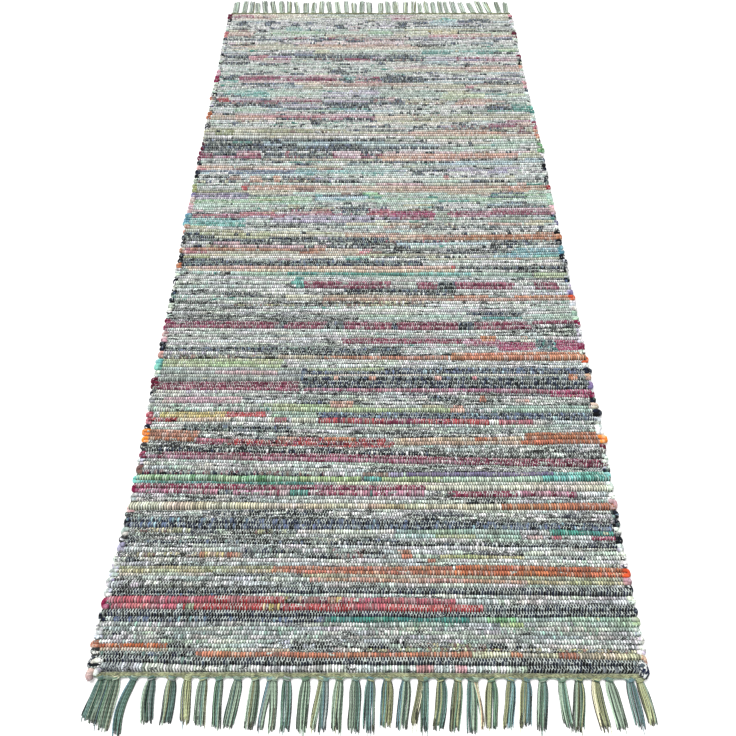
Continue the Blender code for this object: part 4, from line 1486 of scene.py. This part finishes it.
def yarn_colour(rng, tassel, place, tone):
    """A yarn's colour: the tassel's shades lie side by side, -1 to 1, a little mixed."""
    shades, shares = read_shades(tassel.yarns)
    at = (place + 1) / 2 + rng.normal(0, YARN_MIXING)
    chosen = min(int((np.cumsum(shares) < at).sum()), len(shades) - 1)
    return yarn_grain(linear(np.clip(shades[chosen] * rng.uniform(*tone), 0, 1)))


def tassel_course(tassel, t):
    """A tassel's middle line at each share of its length, and its half width there."""
    ease = t * t * (3 - 2 * t) * 0.5 + t * 0.5
    x = tassel.root + (tassel.tip - tassel.root) * ease + tassel.bow * np.sin(np.pi * t)
    filled = np.clip(t / FULL_AT, 0, 1)
    filled = filled * (2 - filled)
    half = NECK_HALF_MM + (tassel.half - NECK_HALF_MM) * filled
    return x, half * (1 - TIP_NARROWING * np.clip((t - TIP_FROM) / (1 - TIP_FROM), 0, 1))


class Fringe(Tubes):
    """One end's header, knots and tassels, as yarns: end -1 is near and 1 is far."""

    def __init__(self, end, steps, rng):
        super().__init__(YARN_SIDES, YARN_CELLS)
        self.end = end
        self.steps = steps
        self.rng = rng

    def add_header(self, tassels):
        """Twisted yarns along the cloth's end, drawn out a little at each knot."""
        rng = self.rng
        across = np.arange(HEADER_INSET_MM, WIDTH_MM - HEADER_INSET_MM, HEADER_STEP_MM)
        count = len(across)
        roots = np.array([tassel.root for tassel in tassels])
        nearest = np.abs(across[:, None] - roots).min(1)
        pull = np.exp(-(nearest / HEADER_PULL_REACH_MM) ** 2)
        ends = np.array([end_line_mm(x, self.end) for x in across])
        mottle = 1 + wobble(rng, count, *HEADER_MOTTLE)
        for reach, height, share, colour in HEADER_YARNS:
            out = reach + share * (HEADER_PULL_MM * pull - HEADER_SLACK_MM)
            out = out + wobble(rng, count, *HEADER_STRAY)
            z = height + wobble(rng, count, *HEADER_HEAVE)
            colours = np.tile(yarn_grain(linear(shade(colour))), (count, 1))
            colours[:, :3] *= rng.uniform(*HEADER_TONE, (count, 1)) * mottle[:, None]
            radii = HEADER_YARN_MM * (1 + wobble(rng, count, *HEADER_UNEVENNESS))
            self.add(across, ends + self.end * out, z, radii, colours)

    def add_knot(self, tassel):
        """A tassel's knot: yarns drawn in from the header, and slanted wraps over them."""
        rng, end = self.rng, self.end
        base = end_line_mm(tassel.root, end)
        t = np.linspace(0, 1, KNOT_STEPS)
        for side in (-1, 1):
            for aside, reach in KNOT_YARNS:
                jitter = KNOT_JITTER_MM * rng.random()
                offset = aside * (1 - t) ** KNOT_BEND + KNOT_NECK_MM * t + jitter
                y = base + end * (reach + (NECK_REACH_MM - reach) * t)
                z = KNOT_HEIGHT_MM + KNOT_RISE_MM * np.sin(np.pi * t)
                z = z + rng.uniform(-KNOT_HEIGHT_JITTER_MM, KNOT_HEIGHT_JITTER_MM)
                colour = yarn_colour(rng, tassel, side * (1 - aside / KNOT_SPAN_MM), KNOT_TONE)
                self.add(tassel.root + side * offset, y, z, KNOT_YARN_MM, colour)
        turn = np.linspace(*WRAP_TURN, WRAP_STEPS) * np.pi
        slant = rng.choice([-WRAP_SLANT_MM, WRAP_SLANT_MM])
        for place, half in WRAPS:
            colour = yarn_colour(rng, tassel, rng.uniform(-1, 1), WRAP_TONE)
            y = base + end * (NECK_REACH_MM + place + slant * np.cos(turn))
            z = WRAP_FOOT_MM + WRAP_RISE_MM * np.sin(turn) ** WRAP_SQUARENESS
            self.add(tassel.root - half * np.cos(turn), y, z, WRAP_YARN_MM, colour, up=(0.0, 1.0, 0.0))

    def add_yarn(self, tassel, place, reach, height, radius, tone):
        """One loose yarn of a tassel, at its place between the tassel's sides."""
        rng = self.rng
        t = np.linspace(0, 1, self.steps)
        x, half = tassel_course(tassel, np.clip(t * reach, 0, 1))
        x = x + (place + rng.normal(0, YARN_SPREAD) * t) * (half - radius)
        x = x + rng.uniform(*YARN_SWAY_MM) * self.wave(t, YARN_SWAYS)
        length = TIP_REACH_MM + tassel.length * reach - YARN_START_MM
        y = end_line_mm(tassel.root, self.end) + self.end * (YARN_START_MM + length * t)
        z = radius + height * (1 - YARN_CROWN * place * place) * (1 - YARN_DROP * t)
        z = z + YARN_HEAVE_MM * self.wave(t, YARN_HEAVES) * (height > UNDER_HEIGHT_MM)
        radii = radius * (1 + wobble(rng, self.steps, *YARN_UNEVENNESS))
        radii = radii * np.where(t > YARN_TIP, YARN_TIP_RADIUS, 1)
        colours = np.tile(yarn_colour(rng, tassel, place, tone), (self.steps, 1))
        colours[:, :3] *= (YARN_ROOT_TONE + YARN_TONE_RISE * t)[:, None]
        self.add(x, y, np.maximum(z, radius), radii, colours)

    def wave(self, t, turns):
        """A sway that grows along a yarn."""
        return np.sin(t * self.rng.uniform(*turns) + self.rng.uniform(*ANY_PHASE)) * t

    def add_tassel(self, tassel):
        """A tassel's loose yarns: the lower layer in painted shade, the upper one in painted light, and
        now and then a wisp.
        """
        rng = self.rng
        count = max(FEWEST_YARNS, round(2 * tassel.half * YARNS_A_MM))
        for index in range(count + 1):
            place = index / count * 2 - 1 + rng.uniform(-UNDER_JITTER, UNDER_JITTER)
            reach = rng.uniform(*UNDER_REACH)
            self.add_yarn(tassel, np.clip(place, -1, 1), reach, UNDER_HEIGHT_MM,
                          YARN_RADIUS_MM * UNDER_RADIUS, UNDER_SHADE)
        for index in range(count):
            place = (index + 0.5) / count * 2 - 1 + rng.uniform(-OVER_JITTER, OVER_JITTER)
            self.add_yarn(tassel, place, rng.uniform(*OVER_REACH), rng.uniform(*OVER_HEIGHT_MM),
                          YARN_RADIUS_MM * rng.uniform(*OVER_RADIUS), OVER_LIGHT)
        for _ in range(rng.poisson(WISPS)):
            self.add_yarn(tassel, rng.uniform(-WISP_PLACE, WISP_PLACE), rng.uniform(*WISP_REACH),
                          WISP_HEIGHT_MM, YARN_RADIUS_MM * WISP_RADIUS, OVER_LIGHT)


def make_fringe(name, end, tassels, steps, material, rng):
    """One end's fringe."""
    fringe = Fringe(end, steps, rng)
    fringe.add_header(tassels)
    for tassel in tassels:
        fringe.add_knot(tassel)
        fringe.add_tassel(tassel)
    return fringe.build(name, material)


# ---- materials ----

class Nodes:
    """A material and its nodes. A value is a number, a colour or another node's socket."""

    def __init__(self, name, roughness, sheen):
        self.material = bpy.data.materials.new(name)
        self.material.use_nodes = True
        self.tree = self.material.node_tree
        self.shader = self.tree.nodes["Principled BSDF"].inputs
        self.shader["Roughness"].default_value = roughness
        self.shader["Sheen Weight"].default_value = sheen
        self.shader["Sheen Roughness"].default_value = SHEEN_ROUGHNESS
        self.shader["Specular IOR Level"].default_value = SPECULAR

    def put(self, socket, value):
        """Links a socket to another one, or sets it to a value."""
        if isinstance(value, bpy.types.NodeSocket):
            self.tree.links.new(value, socket)
        else:
            socket.default_value = value

    def add(self, kind, inputs=(), **settings):
        """A new node, with its settings, and its inputs by name or number."""
        node = self.tree.nodes.new(kind)
        for key, value in settings.items():
            setattr(node, key, value)
        for key, value in dict(inputs).items():
            self.put(node.inputs[key], value)
        return node

    def math(self, operation, *values):
        """A sum worked out by a node."""
        return self.add("ShaderNodeMath", dict(enumerate(values)), operation=operation).outputs[0]

    def times(self, first, second):
        return self.math("MULTIPLY", first, second)

    def scaled(self, value, factor, more):
        """A value times a factor, and something more."""
        return self.math("MULTIPLY_ADD", value, factor, more)

    def distance(self, value, centre):
        """How far a value is from a centre, on either side."""
        return self.math("ABSOLUTE", self.math("SUBTRACT", value, centre))

    def ramp(self, value, low, high, out_low=0.0, out_high=1.0):
        """A smooth step from one result to another."""
        inputs = {0: value, 1: low, 2: high, 3: out_low, 4: out_high}
        return self.add("ShaderNodeMapRange", inputs, interpolation_type="SMOOTHSTEP").outputs[0]

    def mix(self, factor, first, second, blend="MIX"):
        """A mix of two colours."""
        inputs = {0: factor, 6: first, 7: second}
        return self.add("ShaderNodeMix", inputs, data_type="RGBA", blend_type=blend).outputs[2]

    def toned(self, colour, tone):
        """A colour times a tone."""
        return self.mix(1.0, colour, tone, "MULTIPLY")

    def light(self, colour):
        """How bright a colour is."""
        return self.add("ShaderNodeRGBToBW", {0: colour}).outputs[0]

    def vector(self, x, y, z=0.0):
        return self.add("ShaderNodeCombineXYZ", {0: x, 1: y, 2: z}).outputs[0]

    def noise(self, place, scale, detail, roughness):
        inputs = {"Vector": place, "Scale": scale, "Detail": detail, "Roughness": roughness}
        return self.add("ShaderNodeTexNoise", inputs).outputs["Fac"]

    def cell_noise(self, u, v):
        """A random value for each cell of the weave."""
        cell = self.vector(self.math("FLOOR", u), self.math("FLOOR", v))
        return self.add("ShaderNodeTexWhiteNoise", {"Vector": cell}).outputs["Value"]

    def place(self):
        """The place on the object, in metres."""
        return self.add("ShaderNodeTexCoord").outputs["Object"]

    def weave(self):
        """The place on the weave: floats and rows, or turns and mm on a tube."""
        uv = self.add("ShaderNodeUVMap", uv_map="weave").outputs[0]
        return self.add("ShaderNodeSeparateXYZ", {0: uv}).outputs[:2]

    def finish(self, colour, height, strength, distance):
        """Sets the colour and the bumps."""
        inputs = {"Height": height, "Strength": strength, "Distance": distance}
        self.put(self.shader["Base Color"], colour)
        self.put(self.shader["Normal"], self.add("ShaderNodeBump", inputs).outputs[0])
        return self.material


def print_marks(nodes, colour, marks, place):
    """A rag's print, in ragged dashes along the row."""
    noise = nodes.noise(place, *PRINT_NOISE)
    reach = nodes.scaled(marks.outputs["Alpha"], PRINT_REACH, noise)
    mask = nodes.ramp(reach, *PRINT_EDGE, 0.0, PRINT_STRENGTH)
    return nodes.mix(mask, colour, marks.outputs["Color"])


def flecks(nodes, colour, amount, place):
    """Fine print on the rags: dark on pale shades and pale on dark ones."""
    grains = nodes.noise(place, *FLECK_NOISE)
    mask = nodes.ramp(nodes.scaled(amount, FLECK_REACH, grains), *FLECK_EDGE)
    ink = nodes.mix(nodes.ramp(nodes.light(colour), *PALE_CLOTH), PALE_FLECK, DARK_FLECK)
    return nodes.mix(nodes.times(mask, FLECK_STRENGTH), colour, ink)


def off_warp(nodes, u):
    """How far each place is from the nearest warp yarn, in floats, and that yarn's number."""
    nearest = nodes.math("ROUND", u)
    return nodes.distance(u, nearest), nearest


def grain_reach(nodes, off_centre, rise, grain, shift):
    """How far out a place is on a dark rag's rounded grain: 1 is its edge."""
    middle, half_width, half_height = grain
    middle = nodes.scaled(shift, GRAIN_SHIFT, middle - GRAIN_SHIFT / 2)
    reaches = (nodes.times(off_centre, 1 / half_width),
               nodes.times(nodes.distance(rise, middle), 1 / half_height))
    return nodes.math("ADD", *map(nodes.math, ("POWER", "POWER"), reaches, GRAIN_POWERS))


def warp_lines(nodes, v, rise, off, nearest):
    """The warp over pale rags, as lines of painted shade, with a stronger one at every third place."""
    place = nodes.math("FLOORED_MODULO", nearest, WARP_GROUP)
    third = nodes.math("COMPARE", place, STRONG_WARP, SAME_WARP)
    half = nodes.scaled(third, THIRD_WIDER, nodes.ramp(rise, *MID_RISE, *LINE_HALF))
    line = nodes.ramp(off, half, nodes.math("ADD", half, LINE_BLUR), 1.0, 0.0)
    strength = nodes.ramp(rise, *MID_RISE, *LINE_STRENGTH)
    line = nodes.times(line, nodes.scaled(third, THIRD_STRONGER, strength))
    return nodes.times(line, nodes.ramp(v, *FAR_LINE_ROWS, 1.0, FAR_LINES))


def around_grains(nodes, u, v, rise, off):
    """The warp over dark rags: all that their rounded grains leave free."""
    shift = nodes.cell_noise(u, v)
    lower = grain_reach(nodes, nodes.math("SUBTRACT", 0.5, off), rise, LOWER_GRAIN, shift)
    upper = grain_reach(nodes, off, rise, UPPER_GRAIN, shift)
    least, most = (nodes.ramp(v, *GRAIN_SIZE_ROWS, *ends) for ends in zip(*GRAIN_SIZES))
    size = nodes.cell_noise(nodes.scaled(u, 2.0, 0.5), nodes.times(v, 2.0))
    size = nodes.ramp(size, 0.0, 1.0, least, most)
    reach = nodes.times(nodes.math("MINIMUM", lower, upper), size)
    return nodes.ramp(reach, *GRAIN_EDGE, 0.0, GRAIN_STRENGTH)


def warp_colour(nodes, printed, dark):
    """The warp looks pale over dark rags. Over pale rags it's a dark line of painted shade between them:
    the rag darkened, with some shaded warp colour.
    """
    on_dark, pale_gap_shade = ((*linear(shade(word)), 1) for word in ("warp_on_dark", "warp_on_pale"))
    shadow = nodes.mix(WARP_SHADE_ON_PALE, nodes.toned(printed, WARP_SHADOW), pale_gap_shade)
    return nodes.mix(dark, shadow, nodes.mix(WARP_ON_DARK, printed, on_dark))


def row_shading(nodes, v, rise, off, dark):
    """Rows are darker towards the valleys between them, most where two warp yarns meet."""
    reach, tones = OFF_WARP_SHADE
    middle = nodes.scaled(dark, DARK_SHADE, nodes.ramp(off, *reach, *tones))
    first = nodes.ramp(v, *FIRST_ROW, FIRST_ROW_LIGHT, FRONT_SHADE)
    front = nodes.ramp(rise, *FRONT_RISE, nodes.math("ADD", middle, first), 1.0)
    rear = nodes.ramp(rise, *REAR_RISE, 1.0, nodes.math("ADD", middle, REAR_SHADE))
    crest = nodes.ramp(nodes.distance(rise, CREST_RISE), 0.0, CREST_REACH, CREST_LIGHT, 1.0)
    return nodes.times(nodes.times(front, rear), crest)


def woven_over(nodes, u, v, printed, toned):
    """Rags with the warp over them and shaded row by row, and where the warp lies."""
    rise = nodes.math("FRACT", v)
    dark = nodes.ramp(nodes.light(printed), *DARK_CLOTH, 1.0, 0.0)
    off, nearest = off_warp(nodes, u)
    inputs = {0: dark, 2: warp_lines(nodes, v, rise, off, nearest),
              3: around_grains(nodes, u, v, rise, off)}
    yarn = nodes.add("ShaderNodeMix", inputs, data_type="FLOAT").outputs[0]
    # the warp: pale over dark rags, and painted shade over pale ones
    toned = nodes.mix(yarn, toned, warp_colour(nodes, printed, dark))
    speckle = nodes.cell_noise(nodes.times(u, 2.0), nodes.times(v, 2.0))
    speckle = nodes.ramp(speckle, 0.0, 1.0, *SPECKLE)
    # a random speckle, and painted light that grows over the first rows
    toned = nodes.toned(toned, nodes.times(speckle, nodes.ramp(v, *GAIN_ROWS, *GAIN)))
    return nodes.toned(toned, row_shading(nodes, v, rise, off, dark)), yarn


def rag_material(name, woven):
    """Woven or turned rags: colours from the mesh, print, folds with painted shade, and the warp over
    them.
    """
    nodes = Nodes(name, *RAG_SURFACE)
    colour = nodes.add("ShaderNodeAttribute", attribute_name="rag_colour")
    marks = nodes.add("ShaderNodeAttribute", attribute_name="rag_marks")
    place = nodes.place()
    u, v = nodes.weave()
    along, around = (u, v) if woven else (nodes.times(v, TURN_ALONG), u)
    piece = nodes.add("ShaderNodeObjectInfo").outputs["Random"]
    dashes = nodes.vector(nodes.times(along, DASH_SIZE[0]), nodes.times(around, DASH_SIZE[1]), piece)
    printed = print_marks(nodes, colour.outputs["Color"], marks, dashes)
    printed = flecks(nodes, printed, colour.outputs["Alpha"], place)
    lines = nodes.vector(nodes.times(along, FOLD_SIZE[0]), nodes.times(around, FOLD_SIZE[1]))
    folds = nodes.noise(lines, *FOLD_NOISE)
    fold = nodes.ramp(nodes.distance(folds, FOLD_MIDDLE), *FOLD_EDGE)
    creases = nodes.noise(place, *CREASE_NOISE)
    # the tone: crease noise, and painted shade along each fold's line
    tone = nodes.times(nodes.ramp(creases, *MID_NOISE, *CREASE_TONE),
                       nodes.scaled(fold, FOLD_SHADE, 1 - FOLD_SHADE))
    toned = nodes.toned(printed, tone)
    height = nodes.scaled(fold, FOLD_HEIGHT, creases)
    if woven:
        toned, yarn = woven_over(nodes, u, v, printed, toned)
        height = nodes.scaled(yarn, WARP_HEIGHT, height)
    return nodes.finish(toned, height, *RAG_BUMP)


def yarn_material(name):
    """Loosely twisted cotton yarn, its plies drawn by slanted bands of bumps and painted light and shade
    round each tube.
    """
    nodes = Nodes(name, *YARN_SURFACE)
    colour = nodes.add("ShaderNodeAttribute", attribute_name="rag_colour").outputs["Color"]
    around, along = nodes.weave()
    turns = nodes.scaled(along, TWIST_A_MM, nodes.times(around, PLIES))
    ply = nodes.math("SINE", nodes.times(turns, 2 * math.pi))
    fuzz = nodes.noise(nodes.place(), *FUZZ_NOISE)
    # painted light on the plies and painted shade between them, with fuzz
    tone = nodes.scaled(ply, PLY_LIGHT_AND_SHADE, nodes.ramp(fuzz, *MID_NOISE, *FUZZ_TONE))
    return nodes.finish(nodes.toned(colour, tone), nodes.scaled(ply, PLY_HEIGHT, fuzz), *YARN_BUMP)


# ---- stage ----

def make_floor():
    """A plain white floor."""
    bpy.ops.mesh.primitive_plane_add(size=FLOOR_SIZE, location=(0, 0, 0))
    floor = bpy.context.object
    floor.name = "floor"
    nodes = Nodes("floor_white", *FLOOR_SURFACE)
    nodes.shader["Base Color"].default_value = FLOOR_COLOUR
    nodes.shader["Emission Color"].default_value = WHITE
    nodes.shader["Emission Strength"].default_value = FLOOR_GLOW
    floor.data.materials.append(nodes.material)


def make_lights():
    """A bright even room with a wide soft light from the upper left."""
    world = bpy.data.worlds.new("studio")
    world.use_nodes = True
    world.node_tree.nodes["Background"].inputs["Color"].default_value = WHITE
    world.node_tree.nodes["Background"].inputs["Strength"].default_value = ROOM_LIGHT
    bpy.context.scene.world = world
    data = bpy.data.lights.new("soft_key", "SUN")
    data.energy = KEY_LIGHT
    data.angle = math.radians(KEY_WIDTH)
    key = bpy.data.objects.new("soft_key", data)
    key.rotation_euler = Vector(KEY_FROM).to_track_quat("Z", "Y").to_euler()
    bpy.context.scene.collection.objects.link(key)


def make_camera():
    """The camera at the photo's place, angle and lens."""
    data = bpy.data.cameras.new("camera")
    data.sensor_width = SENSOR_MM
    data.lens = FOCAL_PX / PICTURE_PX * SENSOR_MM
    data.shift_x = CAMERA_SHIFT
    data.clip_start = NEAREST_SEEN
    camera = bpy.data.objects.new("camera", data)
    camera.location = CAMERA_AT
    camera.rotation_euler = (math.radians(CAMERA_TILT), 0, 0)
    bpy.context.scene.collection.objects.link(camera)
    bpy.context.scene.camera = camera


# ---- everything ----

def attach(piece, slot, *nodes):
    """Ties a piece to the part, and hides the solids that it stands for. Its slot is not used."""
    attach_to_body(piece, "root")
    if nodes:
        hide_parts(*nodes)


def main():
    make_camera()
    woven = rag_material("woven_rags", True)
    turned = rag_material("turned_rags", False)
    yarn = yarn_material("fringe_yarn")
    row_rags = rags_of_rows(np.random.default_rng(SEED + 1))
    strips = make_cloth(woven, np.random.default_rng(SEED + 2), row_rags)
    back = make_back(woven, np.random.default_rng(SEED + 3), row_rags)
    rng = np.random.default_rng(SEED + 4)
    loops = [make_loops("selvedge_left", -1, LEFT_LOOPS, turned, rng),
             make_loops("selvedge_right", 1, RIGHT_LOOPS, turned, rng),
             make_corner_turns(turned, rng)]
    rng = np.random.default_rng(SEED + 5)
    near = make_fringe("fringe_yarns_near", -1, near_tassels(), NEAR_STEPS, yarn, rng)
    far = make_fringe("fringe_yarns_far", 1, far_tassels(rng), FAR_STEPS, yarn, rng)
    for piece in strips + loops:
        attach(piece, "woven_rags")
    attach(back, "woven_rags", "woven_body")
    attach(near, "fringe_yarn", "fringe_near")
    attach(far, "fringe_yarn", "fringe_far")
    make_floor()
    make_lights()
    bpy.context.scene.view_settings.view_transform = "Standard"


main()
